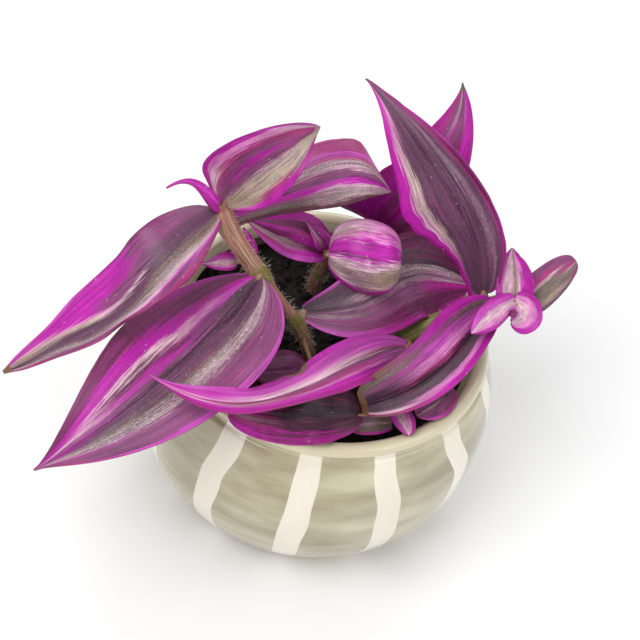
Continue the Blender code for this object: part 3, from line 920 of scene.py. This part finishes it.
def eased(u, stations):
    """The value at u between (place, value) stations, eased by a smoothstep from one to the next."""
    places, values = np.transpose(stations)
    number = np.clip(np.searchsorted(places, u, side="right") - 1, 0, len(places) - 2)
    share = np.clip((u - places[number]) / (places[number + 1] - places[number]), 0, 1)
    return values[number] + (values[number + 1] - values[number]) * share ** 2 * (3 - 2 * share)


def leaf_section(row, u, v):
    """Across and rise of a leaf's section, in mm, on the grid of u along it and v across it.

    The half width is a beta curve of u, never under the base's own, and the section is an arc
    whose half angle is the cup, which eases from base to tip. Fold tilts each half up. Wave lifts
    the edges by a sine of u, left and right widen a side by millimetres, and each dent narrows
    one side round one place.
    """
    rise, fall = row["outline"]
    peak = rise / (rise + fall)
    curve = u ** rise * (1 - u) ** fall / (peak ** rise * (1 - peak) ** fall)
    half = np.hypot(row["width"] / 2 * curve, row["base"] / 2 * (1 - u) ** 1.5 + TIP_HALF)
    half = half * (1 + row["skew"] * v)
    half = half + np.abs(v) * np.where(v < 0, eased(u, row["left"]), eased(u, row["right"]))
    for place, side, spread, depth in row["dents"]:
        near = np.exp(-(((u - place) / spread) ** 2)) * np.clip(v * side, 0, 1) ** 2
        half = half * (1 - depth * near)
    turn = np.radians(row["cup"][0] * (1 - u) + row["cup"][1] * u)
    turn = np.where(np.abs(turn) < 1e-3, 1e-3, turn)
    across = half * np.sin(turn * v) / turn
    lift = half * (1 - np.cos(turn * v)) / turn
    tilt = math.radians(row["fold"])
    across, lift = (
        across * math.cos(tilt) - np.sign(v) * lift * math.sin(tilt),
        lift * math.cos(tilt) + np.abs(across) * math.sin(tilt),
    )
    height, count, start = row["wave"]
    lift = lift + height * v ** 2 * np.sin(math.pi * u) * np.sin(ROUND * (count * u + start + 0.3 * (v < 0)))
    return across, lift, half


def leaf_points(row, plant, seed):
    """A closed leaf blade as (points, quads, paint, patch), in metres.

    Each ring runs over the upper face from left to right and back under it. The upper face is the
    midrib's cubic plus its section, which stands square to the midrib or, in a level row, to the
    leaf's chord. Veins are ridges of |sin| across it, and the under face lies below it by a thickness
    that thins to the edge and to the tip.
    """
    rows, columns = row["grid"]
    along = np.linspace(0, 1, rows + 1)
    across_share = np.linspace(-1, 1, columns + 1)
    across_share = across_share * (1 - EDGE_CROWDING * (1 - across_share ** 2))
    u, v = np.meshgrid(along, across_share, indexing="ij")
    middle = through_four(row["points"], along) + PLANT_DATUM
    ahead = unit(np.gradient(middle, axis=0))
    if row["level"]:
        ahead = np.repeat(unit(middle[-1:] - middle[:1]), rows + 1, axis=0)
    base_up, tip_up = (np.asarray(value, float) for value in row["face"])
    up = base_up * (1 - along)[:, None] + tip_up * along[:, None]
    up = unit(up - ahead * (up * ahead).sum(axis=1, keepdims=True))
    side = np.cross(ahead, up)
    across, lift, half = leaf_section(row, u, v)
    size = row["width"] / FULL_WIDTH
    fade = np.sin(math.pi * np.clip(u, 0, 1)) ** 0.5
    lift = lift + row["ruffle"] * size * ripple(u * 9, v * 3, seed) * fade
    lift = lift + row["ruffle"] * 0.7 * np.abs(v) ** 5 * ripple(u * 34, v, seed + 1) * fade
    top = middle[:, None] + side[:, None] * across[..., None] + up[:, None] * lift[..., None]
    slope_u = np.gradient(top, axis=0)
    slope_v = np.gradient(top, axis=1)
    normal = unit(np.cross(slope_v, slope_u))
    veins = max(5, round(plant.veins * min(1.0, size))) if row["width"] > NARROW_LEAF else 4
    ridge = np.abs(np.sin(math.pi * veins * (v + 1) / 2)) ** 0.7 - 0.6
    groove = np.exp(-((v * half / GROOVE_REACH) ** 2)) * GROOVE_DEPTH * fade
    depth = plant.vein_depth / MM * min(1.0, 0.4 + size * 0.5)
    top = top + normal * (depth * ridge * fade * (1 - v ** 6) - groove)[..., None]
    bulge = np.sqrt(np.clip(1 - np.abs(v) ** 3, 0, 1))
    thick = plant.thickness / MM * (EDGE_THINNESS + (1 - EDGE_THINNESS) * bulge)
    thick = np.minimum(thick * (1 - 0.5 * u ** 4), 0.9 * half + 0.1)
    under = top - normal * thick[..., None]
    rings = np.concatenate([top, under[:, ::-1]], axis=1)
    paint = np.stack([u, (v + 1) / 2], axis=-1)
    paint = np.concatenate([paint, paint[:, ::-1]], axis=1)
    count = rings.shape[1]
    quads = grid_cells(rows + 1, count, wrap=True)
    patch = np.tile((np.arange(count) >= columns).astype(int), rows)
    near, far = np.arange(columns), 2 * columns + 1 - np.arange(columns)
    base_cap = np.stack([near, far, far - 1, near + 1], axis=1)
    tip_cap = base_cap[:, ::-1] + rows * count
    quads = np.concatenate([quads, base_cap, tip_cap])
    patch = np.concatenate([patch, np.zeros(2 * columns, int)])
    return rings.reshape(-1, 3) * MM, quads, paint.reshape(-1, 2), patch


def leaf_finish(key):
    """The finish's material, made the first time that a leaf asks for it."""
    name = key + "_leaf_skin"
    if name in bpy.data.materials:
        return bpy.data.materials[name]
    if key == "dried":
        return dried_material()
    bands = [read_stripes(text) for text in FINISHES[key]]
    seed = list(FINISHES).index(key) * 3 + 1
    return leaf_material(name, bands, seed, SPOTS.get(key, ()), SWAYS.get(key, (0.0, 1.0, 0.0)))


def grow_leaves(rows, plant, seed):
    """Builds a table's leaves, each standing for its own packed leaf."""
    for number, (name, row) in enumerate(rows.items()):
        points, quads, paint, patch = leaf_points(row, plant, seed + 10 * number)
        finishes = (leaf_finish(row["finish"]), underside_material())
        blade = build(name + "_blade", points, quads, paint, finishes, patch)
        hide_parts(name + "_leaf")


# ---------------------------------------------------------------- stems


def tube_points(path, radii, sides, ridges=0.0, ridge_count=9, seed=0):
    """A closed tube as (points, quads, triangles, paint): a ring of radius r round each path point.

    The rings' radius is r times 1 plus a cosine ridge round the tube, and the ends close to a point.
    """
    path = np.asarray(path, float)
    ahead = unit(np.gradient(path, axis=0))
    side = unit(np.cross(ahead, GUIDE))
    up = np.cross(side, ahead)
    angle = np.linspace(0, ROUND, sides, endpoint=False)
    place = np.linspace(0, 1, len(path))
    grid_u, grid_a = np.meshgrid(place, angle, indexing="ij")
    uneven = ripple(grid_u * 12, np.cos(grid_a) * 2, seed)
    reach = np.asarray(radii)[:, None] * (1 + ridges * np.cos(ridge_count * grid_a) + 0.4 * ridges * uneven)
    points = (
        path[:, None] + side[:, None] * (reach * np.cos(grid_a))[..., None]
        + up[:, None] * (reach * np.sin(grid_a))[..., None])
    quads, triangles = turned(*closed_rings(len(path), sides))
    ends = np.stack([path[0] - ahead[0] * radii[0] * 0.3, path[-1] + ahead[-1] * radii[-1] * 0.5])
    paint = np.stack([grid_u, 0.5 + 0.5 * np.cos(grid_a)], axis=-1).reshape(-1, 2)
    paint = np.concatenate([paint, [[0, 0.5], [1, 0.5]]])
    return np.concatenate([points.reshape(-1, 3), ends]), quads, triangles, paint


# A hair's radius in mm at its root, its middle and its tip.
HAIR_RADII = (0.036, 0.03, 0.012)


def hair_points(path, radii, count, longest, seed):
    """Hairs as one mesh: bent three-sided spikes, rooted all round a stem and leaning to its tip.

    A hair's spine is its length times the share along it times its lean, plus the share squared
    times its bow.
    """
    rng = np.random.default_rng(seed)
    place = rng.uniform(0.12, 0.98, count)
    steps = np.linspace(0, 1, len(path))
    root = np.stack([np.interp(place, steps, path[:, axis]) for axis in range(3)], axis=1)
    ahead = unit(np.stack([
        np.interp(place, steps, np.gradient(path, axis=0)[:, axis]) for axis in range(3)], axis=1))
    side = unit(np.cross(ahead, GUIDE))
    up = np.cross(side, ahead)
    angle = rng.uniform(0, ROUND, count)[:, None]
    out = side * np.cos(angle) + up * np.sin(angle)
    root = root + out * (np.interp(place, steps, radii) * 0.93)[:, None]
    length = longest * rng.uniform(0.35, 1.0, count)[:, None]
    lean = ahead * rng.uniform(-0.5, 0.7, (count, 1)) + unit(rng.normal(size=(count, 3))) * 0.35
    bow = unit(rng.normal(size=(count, 3))) * 0.2
    stations = np.array([0.0, 0.5, 1.0])
    share = stations[None, :, None]
    reach = share * (out + lean)[:, None] * 0.85 + share ** 2 * bow[:, None]
    spine = root[:, None] + length[:, None] * reach
    first = unit(np.cross(out, ahead))
    second = unit(np.cross(out, first))
    turn = np.array([0, ROUND / 3, 2 * ROUND / 3])
    ring = (
        first[:, None, None] * np.cos(turn)[None, None, :, None]
        + second[:, None, None] * np.sin(turn)[None, None, :, None]) * np.array(HAIR_RADII)[None, :, None, None]
    points = (spine[:, :, None] + ring).reshape(count, 9, 3)
    quads = grid_cells(3, 3, wrap=True)
    triangles = np.array([[0, 2, 1], [6, 7, 8]])
    shift = (np.arange(count) * 9)[:, None, None]
    paint = np.tile(np.repeat(stations, 3)[:, None], (count, 2))
    return points.reshape(-1, 3), (quads + shift).reshape(-1, 4), (triangles + shift).reshape(-1, 3), paint


def stem_path(points, stations, rows=90):
    """A stem's path and radii: the cubic through its points, and its stations' radii averaged along it."""
    u = np.linspace(0, 1, rows)
    path = through_four(points, u) + PLANT_DATUM
    places, radii = np.transpose(stations)
    radius = np.interp(u, places, radii)
    kernel = np.hanning(9) / np.hanning(9).sum()
    radius = np.convolve(np.pad(radius, 4, mode="edge"), kernel, mode="valid")
    return path, radius


# A leaf whose base is nearer than this to a stem, in mm, clasps it without a petiole. The others'
# petioles have a radius between these two.
CLASPING = 1.5
PETIOLE_RADII = (0.5, 1.15)


def petiole_path(row, stems, rows=14):
    """The short stalk from the nearest stem to a leaf's base, or None where the leaf clasps its stem.

    Stems are the paths' points and their directions. The stalk is a cubic Bezier curve that leaves a
    little below the nearest place on the stem, partly along it, and comes in along the leaf's own
    midrib. Its radius goes with the leaf's width and thins as the share along it, squared.
    """
    places = np.asarray(row["points"], float) + PLANT_DATUM
    ahead = unit(places[1] - places[0])
    path, direction = stems
    away = np.linalg.norm(path - places[0], axis=1)
    near = int(away.argmin())
    reach = away[near]
    if reach < CLASPING:
        return None
    start = path[near] - direction[near] * min(0.5 * reach, 3.0)
    end = places[0] + ahead * 1.2
    first = start + (unit(end - start) * 0.35 + direction[near] * 0.25) * reach
    second = end - ahead * 0.4 * reach
    share = np.linspace(0, 1, rows)[:, None]
    back = 1 - share
    line = (
        back ** 3 * start + 3 * back ** 2 * share * first
        + 3 * back * share ** 2 * second + share ** 3 * end)
    thick = np.clip(0.05 * row["width"], *PETIOLE_RADII)
    return line, thick * (1.25 - 0.75 * share[:, 0] ** 2)


def all_petioles():
    """Every leaf's petiole in one mesh, as (points, quads, triangles, paint) in mm."""
    paths = [stem_path(places, stations)[0] for places, stations, *_ in STEMS.values()]
    directions = np.concatenate([unit(np.gradient(path, axis=0)) for path in paths])
    stems = (np.concatenate(paths), directions)
    found = ([], [], [], [])
    start = 0
    tables = (WEST_LEAVES, CENTRE_LEAVES, EAST_LEAVES, BACK_LEAVES, FRONT_LEAVES)
    for number, row in enumerate(row for table in tables for row in table.values()):
        route = petiole_path(row, stems)
        if route is None:
            continue
        points, quads, triangles, paint = tube_points(*route, 18, ridges=0.03, seed=60 + number)
        for group, values in zip(found, (points, quads + start, triangles + start, paint)):
            group.append(values)
        start += len(points)
    return tuple(np.concatenate(group) for group in found)


# ---------------------------------------------------------------- pot and soil


# The pot's profile and the soil, in mm. The soil's radius is for a pot of the full radius.
FULL_RADIUS = 47.5
BELLY_HEIGHT = 32.5
BELLY_CURVE = (25.0, 35.0)
INNER_CURVE = 41.0
WALL = 4.0
FOOT_LINE = (
    (0.5, 1.3), (12, 1.3), (24, 1.3), (29, 1.2), (29.8, 0.5), (30.3, 0.08), (30.9, 0), (32.1, 0),
    (32.8, 0.12), (33.05, 0.5))
INNER_FLOOR = 4.2
SOIL_RADIUS = 41.0
SOIL_POLE = 0.4
SOIL_DEPTH = 4.0
SOIL_SINK = 0.8
CRUMB_REACH = 39.0


def pot_profile(pot):
    """The pot's closed profile as (radius, height, inside share) from the middle of its foot, in mm.

    Foot ring, belly arc, neck, rolled rim, inner wall and inner floor. The belly and the inner wall are
    arcs of ellipses round the belly's height, the rim is one round its own middle, and the neck is a
    quadratic Bezier curve from the belly to the rim.
    """
    radius, height = pot.radius / MM, pot.height / MM
    turn = np.radians(np.linspace(-66, 34, 64))
    outer = np.stack([
        radius - BELLY_CURVE[0] + BELLY_CURVE[0] * np.cos(turn),
        BELLY_HEIGHT + BELLY_CURVE[1] * np.sin(turn)], axis=1)
    roll = np.radians(np.linspace(-30, 180, 34))
    rim = np.stack([radius - 6.6 + 2.0 * np.cos(roll), height - 1.9 + 1.9 * np.sin(roll)], axis=1)
    share = np.linspace(0, 1, 14)[1:-1, None]
    bend = np.array([radius - 5.5, height - 4.0])
    neck = (1 - share) ** 2 * outer[-1] + 2 * share * (1 - share) * bend + share ** 2 * rim[0]
    levels = np.linspace(height - 3.6, 6.0, 40)
    hollow = (radius - WALL) * np.sqrt(1 - ((levels - BELLY_HEIGHT) / INNER_CURVE) ** 2)
    inner = np.stack([hollow, levels], axis=1)
    floor = np.stack([np.linspace(inner[-1, 0] - 2, 0.5, 12), np.full(12, INNER_FLOOR)], axis=1)
    wall = outer[outer[:, 1] > 1.2]
    line = np.concatenate([FOOT_LINE, wall, neck, rim, inner, floor])
    inside = np.concatenate([
        np.zeros(len(FOOT_LINE) + len(wall)), np.linspace(0, 0.4, len(neck)),
        np.ones(len(rim) + len(inner) + len(floor))])
    return line, inside


# Angles in degrees of each pale stripe's middle at the stripe heights, from the neck down, and the
# angle over which a stripe's edge fades.
STRIPE_HEIGHTS = (50.0, 36.0, 20.0)
STRIPE_EDGE = 2.5
STRIPES = (
    (-141, -144, -146), (-113, -116, -118), (-86, -86.5, -87.5), (-60.5, -57.5, -56), (-32.5, -27, -27.5),
    (-6, -3, -4), (20, 22, 20), (47, 46, 48), (75, 73, 74), (102, 104, 103), (129, 128, 131), (156, 158, 157),
    (186, 184, 187),
)


def pot_points(pot, steps=288):
    """The pot as (points, quads, triangles, paint): its profile turned about the axis.

    The radius wavers by a few tenths of a millimetre, as a hand-turned wall does. Paint's first
    number is over one half inside a stripe and its second is one on the rim and the inside.
    """
    line, inside = pot_profile(pot)
    angle = np.linspace(0, ROUND, steps, endpoint=False)
    height, turn = np.meshgrid(line[:, 1], angle, indexing="ij")
    radius = np.repeat(line[:, :1], steps, axis=1)
    waver = 0.09 * ripple(height * 0.35, np.cos(turn) * 1.5, 5)
    waver = waver + 0.12 * np.cos(2 * turn + 0.6) + 0.07 * np.sin(3 * turn)
    radius = radius + waver * np.clip(radius / 30, 0, 1)
    drop = 0.10 * np.sin(2 * turn + 1.1) + 0.06 * np.sin(5 * turn)
    height = height + drop * np.clip((height - 35) / 20, 0, 1)
    points = np.stack([radius * np.cos(turn), radius * np.sin(turn), height], axis=-1)
    half = math.degrees(pot.stripe_width) / 2
    depth = np.full(height.shape, -1.0)
    for number, angles in enumerate(STRIPES):
        sway = np.random.default_rng(100 + number).uniform(-1, 1)
        centre = eased(height, list(zip(STRIPE_HEIGHTS[::-1], angles[::-1])))
        waves = 0.07 * sway * np.cos(height / 28 * math.pi) + 0.03 * np.sin(height * 0.4 + number)
        width = half * (1 + waves)
        off = np.abs((np.degrees(turn) - centre + 180) % 360 - 180)
        depth = np.maximum(depth, (width - off) / STRIPE_EDGE)
    stripe = 0.5 + 0.5 * np.clip(depth, -1, 1)
    paint = np.stack([stripe, np.repeat(inside[:, None], steps, axis=1)], axis=-1).reshape(-1, 2)
    quads, triangles = closed_rings(len(line), steps)
    ends = np.array([[0, 0, line[0, 1]], [0, 0, line[-1, 1]]])
    points = np.concatenate([points.reshape(-1, 3), ends]) * MM
    return points, quads, triangles, np.concatenate([paint, [[0, 0], [0, 1]]])


def soil_height(x, y):
    """Lift of the soil above its level, in mm: broad heaps, clods and fine grit, each a sum of sines."""
    return (
        0.9 * ripple(x * 0.16, y * 0.16, 21) + 0.55 * ripple(x * 0.6, y * 0.6, 22)
        + 0.3 * ripple(x * 1.9, y * 1.9, 23))


def soil_points(pot, rings=110, steps=220):
    """The soil as a closed cake: a polar grid lifted by soil_height, its side and its flat bottom."""
    wall = SOIL_RADIUS + (pot.radius / MM - FULL_RADIUS)
    radius = np.linspace(SOIL_POLE, wall, rings)
    angle = np.linspace(0, ROUND, steps, endpoint=False)
    reach, turn = np.meshgrid(radius, angle, indexing="ij")
    x, y = reach * np.cos(turn), reach * np.sin(turn)
    level = pot.soil_level / MM
    top = np.stack([x, y, level + soil_height(x, y) - SOIL_SINK], axis=-1)
    low_radius = np.array([wall, wall * 0.6, SOIL_POLE])
    reach, turn = np.meshgrid(low_radius, angle, indexing="ij")
    low = np.full(reach.shape, level - SOIL_DEPTH)
    bottom = np.stack([reach * np.cos(turn), reach * np.sin(turn), low], axis=-1)
    points = np.concatenate([top, bottom]).reshape(-1, 3)
    quads, triangles = turned(*closed_rings(rings + len(low_radius), steps))
    ends = np.array([[0, 0, top[0, 0, 2]], [0, 0, level - SOIL_DEPTH]])
    points = np.concatenate([points, ends]) * MM
    return points, quads, triangles, points[:, :2]


def crumb_points(pot, count):
    """Loose crumbs as one mesh: small stretched octahedra, split once and roughened, lying on the soil."""
    rng = np.random.default_rng(31)
    corners = unit(np.array([
        [1, 0, 0], [-1, 0, 0], [0, 1, 0], [0, -1, 0], [0, 0, 1], [0, 0, -1],
        [1, 1, 0], [-1, 1, 0], [-1, -1, 0], [1, -1, 0], [1, 0, 1], [0, 1, 1], [-1, 0, 1], [0, -1, 1],
        [1, 0, -1], [0, 1, -1], [-1, 0, -1], [0, -1, -1]], float))
    faces = []
    sides, middles = (0, 2, 1, 3), (6, 7, 8, 9)
    for pole, ring in ((4, (10, 11, 12, 13)), (5, (14, 15, 16, 17))):
        for number, middle in enumerate(middles):
            after = (number + 1) % 4
            near, far = ring[number], ring[after]
            batch = [
                (pole, near, far), (near, middle, far), (near, sides[number], middle),
                (far, middle, sides[after])]
            faces += batch if pole == 4 else [face[::-1] for face in batch]
    faces = np.array(faces)
    spread = np.sqrt(rng.uniform(0, 1, count)) * CRUMB_REACH
    turn = rng.uniform(0, ROUND, count)
    x, y = spread * np.cos(turn), spread * np.sin(turn)
    size = rng.uniform(0.35, 1.0, count) ** 2 * 1.25 + 0.25
    stretch = rng.uniform(0.6, 1.5, (count, 1, 3))
    rough = 1 + rng.uniform(-0.22, 0.22, (count, len(corners), 1))
    spin = np.linalg.qr(rng.normal(size=(count, 3, 3)))[0]
    spin = spin * np.sign(np.linalg.det(spin))[:, None, None]
    lumps = np.einsum("nij,nkj->nki", spin, corners[None] * stretch * rough) * size[:, None, None]
    level = pot.soil_level / MM + soil_height(x, y) - SOIL_SINK + size * 0.35
    lumps = lumps + np.stack([x, y, level], axis=1)[:, None]
    shift = (np.arange(count) * len(corners))[:, None, None]
    points = lumps.reshape(-1, 3) * MM
    return points, (faces[None] + shift).reshape(-1, 3), points[:, :2]


# ---------------------------------------------------------------- operators


class TRADESCANTIA_OT_pot(Operator):
    """Turns the glazed pot and paints its stripes"""

    bl_idname = "tradescantia.pot"
    bl_label = "Pot"

    def execute(self, context):
        pot = context.scene.tradescantia_pot
        points, quads, triangles, paint = pot_points(pot)
        body = build("pot_body", points, quads, paint, (pot_material(pot),), triangles=triangles)
        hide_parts("pot")
        return {"FINISHED"}


class TRADESCANTIA_OT_soil(Operator):
    """Fills the pot with lumpy soil and strews crumbs over it"""

    bl_idname = "tradescantia.soil"
    bl_label = "Soil"

    def execute(self, context):
        pot = context.scene.tradescantia_pot
        points, quads, triangles, paint = soil_points(pot)
        bed = build("soil_bed", points, quads, paint, (soil_material(pot, "damp_soil"),), triangles=triangles)
        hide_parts("soil")
        points, triangles, paint = crumb_points(pot, pot.crumbs)
        crumbs = build(
            "soil_crumbs", points, np.empty((0, 4), int), paint, (soil_material(pot, "soil_crumb", 1.5),),
            triangles=triangles)
        return {"FINISHED"}


class TRADESCANTIA_OT_stems(Operator):
    """Grows the fleshy stems, their hairs and the petioles that join the leaves to them"""

    bl_idname = "tradescantia.stems"
    bl_label = "Stems"

    def execute(self, context):
        plant = context.scene.tradescantia_plant
        for number, (name, (places, stations, joints, hair_share, green)) in enumerate(STEMS.items()):
            path, radii = stem_path(places, stations)
            points, quads, triangles, paint = tube_points(path, radii, 54, ridges=0.035, seed=number)
            finish = stem_material(name + "_stem_skin", plant, joints, number, green)
            stalk = build(name + "_stalk", points * MM, quads, paint, (finish,), triangles=triangles)
            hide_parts(name + "_stem")
            count = round(plant.hairs * hair_share)
            points, quads, triangles, paint = hair_points(path, radii, count, plant.hair / MM, 50 + number)
            hairs = build(name + "_hairs", points * MM, quads, paint, (hair_material(),), triangles=triangles)
        points, quads, triangles, paint = all_petioles()
        finish = stem_material("petiole_skin", plant, (), 9, 0.15)
        petioles = build("petioles", points * MM, quads, paint, (finish,), triangles=triangles)
        return {"FINISHED"}


class LeafOperator:
    """What the leaf operators share: each grows one table of leaves."""

    rows = {}
    seed = 0

    def execute(self, context):
        grow_leaves(self.rows, context.scene.tradescantia_plant, self.seed)
        return {"FINISHED"}


class TRADESCANTIA_OT_west_leaves(LeafOperator, Operator):
    """Grows the leaves of the tall west stem"""

    bl_idname = "tradescantia.west_leaves"
    bl_label = "West Leaves"
    rows = WEST_LEAVES
    seed = 200


class TRADESCANTIA_OT_centre_leaves(LeafOperator, Operator):
    """Grows the leaves in the middle"""

    bl_idname = "tradescantia.centre_leaves"
    bl_label = "Centre Leaves"
    rows = CENTRE_LEAVES
    seed = 300


class TRADESCANTIA_OT_east_leaves(LeafOperator, Operator):
    """Grows the leaves of the east stem"""

    bl_idname = "tradescantia.east_leaves"
    bl_label = "East Leaves"
    rows = EAST_LEAVES
    seed = 400


class TRADESCANTIA_OT_back_leaves(LeafOperator, Operator):
    """Grows the leaf of the back stem"""

    bl_idname = "tradescantia.back_leaves"
    bl_label = "Back Leaf"
    rows = BACK_LEAVES
    seed = 500


class TRADESCANTIA_OT_front_leaves(LeafOperator, Operator):
    """Grows the low leaves at the front of the rim"""

    bl_idname = "tradescantia.front_leaves"
    bl_label = "Front Leaves"
    rows = FRONT_LEAVES
    seed = 600


class TRADESCANTIA_OT_dried_leaf(Operator):
    """Adds the shrivelled leaf near the rim"""

    bl_idname = "tradescantia.dried_leaf"
    bl_label = "Dried Leaf"

    def execute(self, context):
        points, quads, paint, _ = leaf_points(DRIED, context.scene.tradescantia_plant, 700)
        scrap = build("dried_scrap", points, quads, paint, (leaf_finish("dried"),))
        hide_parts("dried_leaf")
        return {"FINISHED"}


class TRADESCANTIA_OT_stage(Operator):
    """Adds the pale floor, the soft lights and the camera"""

    bl_idname = "tradescantia.stage"
    bl_label = "Stage"

    def execute(self, context):
        stage = context.scene.tradescantia_stage
        add_floor(stage)
        add_lights(context.scene)
        add_camera(context.scene, stage)
        context.scene.view_settings.view_transform = "Standard"
        return {"FINISHED"}


# Half the floor's side, in metres.
FLOOR_REACH = 1.5


def add_floor(stage):
    """A flat square under the pot, with the faintest mottle."""
    corners = np.array([[-1, -1, 0], [1, -1, 0], [1, 1, 0], [-1, 1, 0]], float) * FLOOR_REACH
    mesh = bpy.data.meshes.new("floor")
    mesh.from_pydata(corners.tolist(), [], [(0, 1, 2, 3)])
    finish = bpy.data.materials.new("floor")
    finish.use_nodes = True
    tree = finish.node_tree
    shader = tree.nodes["Principled BSDF"]
    place = add_node(tree, "ShaderNodeTexCoord").outputs["Object"]
    mottle = use_group(tree, mottle_group(), Vector=place, Scale=6.0)
    shade = tuple(channel * 0.99 for channel in stage.floor)
    colour = blend_colours(tree, mottle["Cloud"], stage.floor, shade)
    tree.links.new(colour, shader.inputs["Base Color"])
    shader.inputs["Roughness"].default_value = 0.9
    mesh.materials.append(finish)
    floor = bpy.data.objects.new("floor", mesh)
    bpy.context.scene.collection.objects.link(floor)


# Each light's name, place, size and power. All point at the aim, in an even surround.
SURROUND = (0.98, 0.99, 1.0)
SURROUND_STRENGTH = 0.6
LIGHT_AIM = (0, 0, 0.065)
LIGHTS = (
    ("key", (-0.45, -0.45, 0.95), 0.7, 7.0),
    ("fill", (0.75, -0.35, 0.60), 0.7, 2.0),
    ("rear", (0.10, 0.85, 0.75), 0.6, 2.5),
)


def add_lights(scene):
    """Big soft square lights aimed at the plant, in an even pale surround."""
    aim = Vector(LIGHT_AIM)
    for name, spot, size, power in LIGHTS:
        light = bpy.data.lights.new(name, "AREA")
        light.size = size
        light.energy = power
        lamp = bpy.data.objects.new(name, light)
        lamp.location = spot
        lamp.rotation_euler = (aim - Vector(spot)).to_track_quat("-Z", "Y").to_euler()
        scene.collection.objects.link(lamp)
    world = bpy.data.worlds.new("surround")
    world.use_nodes = True
    surround = world.node_tree.nodes["Background"].inputs
    surround["Color"].default_value = (*SURROUND, 1.0)
    surround["Strength"].default_value = SURROUND_STRENGTH
    scene.world = world


CAMERA_AIM = (-0.0025, 0, 0.057)
CAMERA_SENSOR = 36.0


def add_camera(scene, stage):
    """The camera looks down at its elevation, rolled about its own axis."""
    lens = bpy.data.cameras.new("camera")
    lens.sensor_width = CAMERA_SENSOR
    lens.lens = stage.lens
    camera = bpy.data.objects.new("camera", lens)
    aim = Vector(CAMERA_AIM)
    rise = stage.elevation
    back = Vector((0, -math.cos(rise), math.sin(rise)))
    over = Vector((0, math.sin(rise), math.cos(rise)))
    right = Vector((1, 0, 0))
    turn = stage.roll
    axis_x = right * math.cos(turn) + over * math.sin(turn)
    axis_y = over * math.cos(turn) - right * math.sin(turn)
    facing = Matrix((axis_x, axis_y, back)).transposed().to_4x4()
    camera.matrix_world = Matrix.Translation(aim + back * stage.distance) @ facing
    scene.collection.objects.link(camera)
    scene.camera = camera


# ---------------------------------------------------------------- panel and running


OPERATORS = (
    TRADESCANTIA_OT_stage,
    TRADESCANTIA_OT_pot,
    TRADESCANTIA_OT_soil,
    TRADESCANTIA_OT_stems,
    TRADESCANTIA_OT_west_leaves,
    TRADESCANTIA_OT_centre_leaves,
    TRADESCANTIA_OT_east_leaves,
    TRADESCANTIA_OT_back_leaves,
    TRADESCANTIA_OT_front_leaves,
    TRADESCANTIA_OT_dried_leaf,
)


class TRADESCANTIA_PT_panel(Panel):
    """Lists the operators and the sizes and colours they use"""

    bl_idname = "TRADESCANTIA_PT_panel"
    bl_label = "Potted Tradescantia"
    bl_space_type = "VIEW_3D"
    bl_region_type = "UI"
    bl_category = "Tradescantia"

    def draw(self, context):
        for group in SETTINGS:
            box = self.layout.box()
            settings = getattr(context.scene, group)
            for name in settings.__annotations__:
                box.prop(settings, name)
        for operator in OPERATORS:
            self.layout.operator(operator.bl_idname)


SETTINGS = {
    "tradescantia_pot": PotSettings,
    "tradescantia_plant": PlantSettings,
    "tradescantia_stage": StageSettings,
}
CLASSES = (*SETTINGS.values(), *OPERATORS, TRADESCANTIA_PT_panel)


def register():
    for kind in CLASSES:
        bpy.utils.register_class(kind)
    for name, kind in SETTINGS.items():
        setattr(bpy.types.Scene, name, PointerProperty(type=kind))


def unregister():
    for name in SETTINGS:
        delattr(bpy.types.Scene, name)
    for kind in reversed(CLASSES):
        bpy.utils.unregister_class(kind)


def main():
    register()
    for operator in OPERATORS:
        group, name = operator.bl_idname.split(".")
        getattr(getattr(bpy.ops, group), name)()
    bpy.context.view_layer.update()


if __name__ == "__main__":
    main()
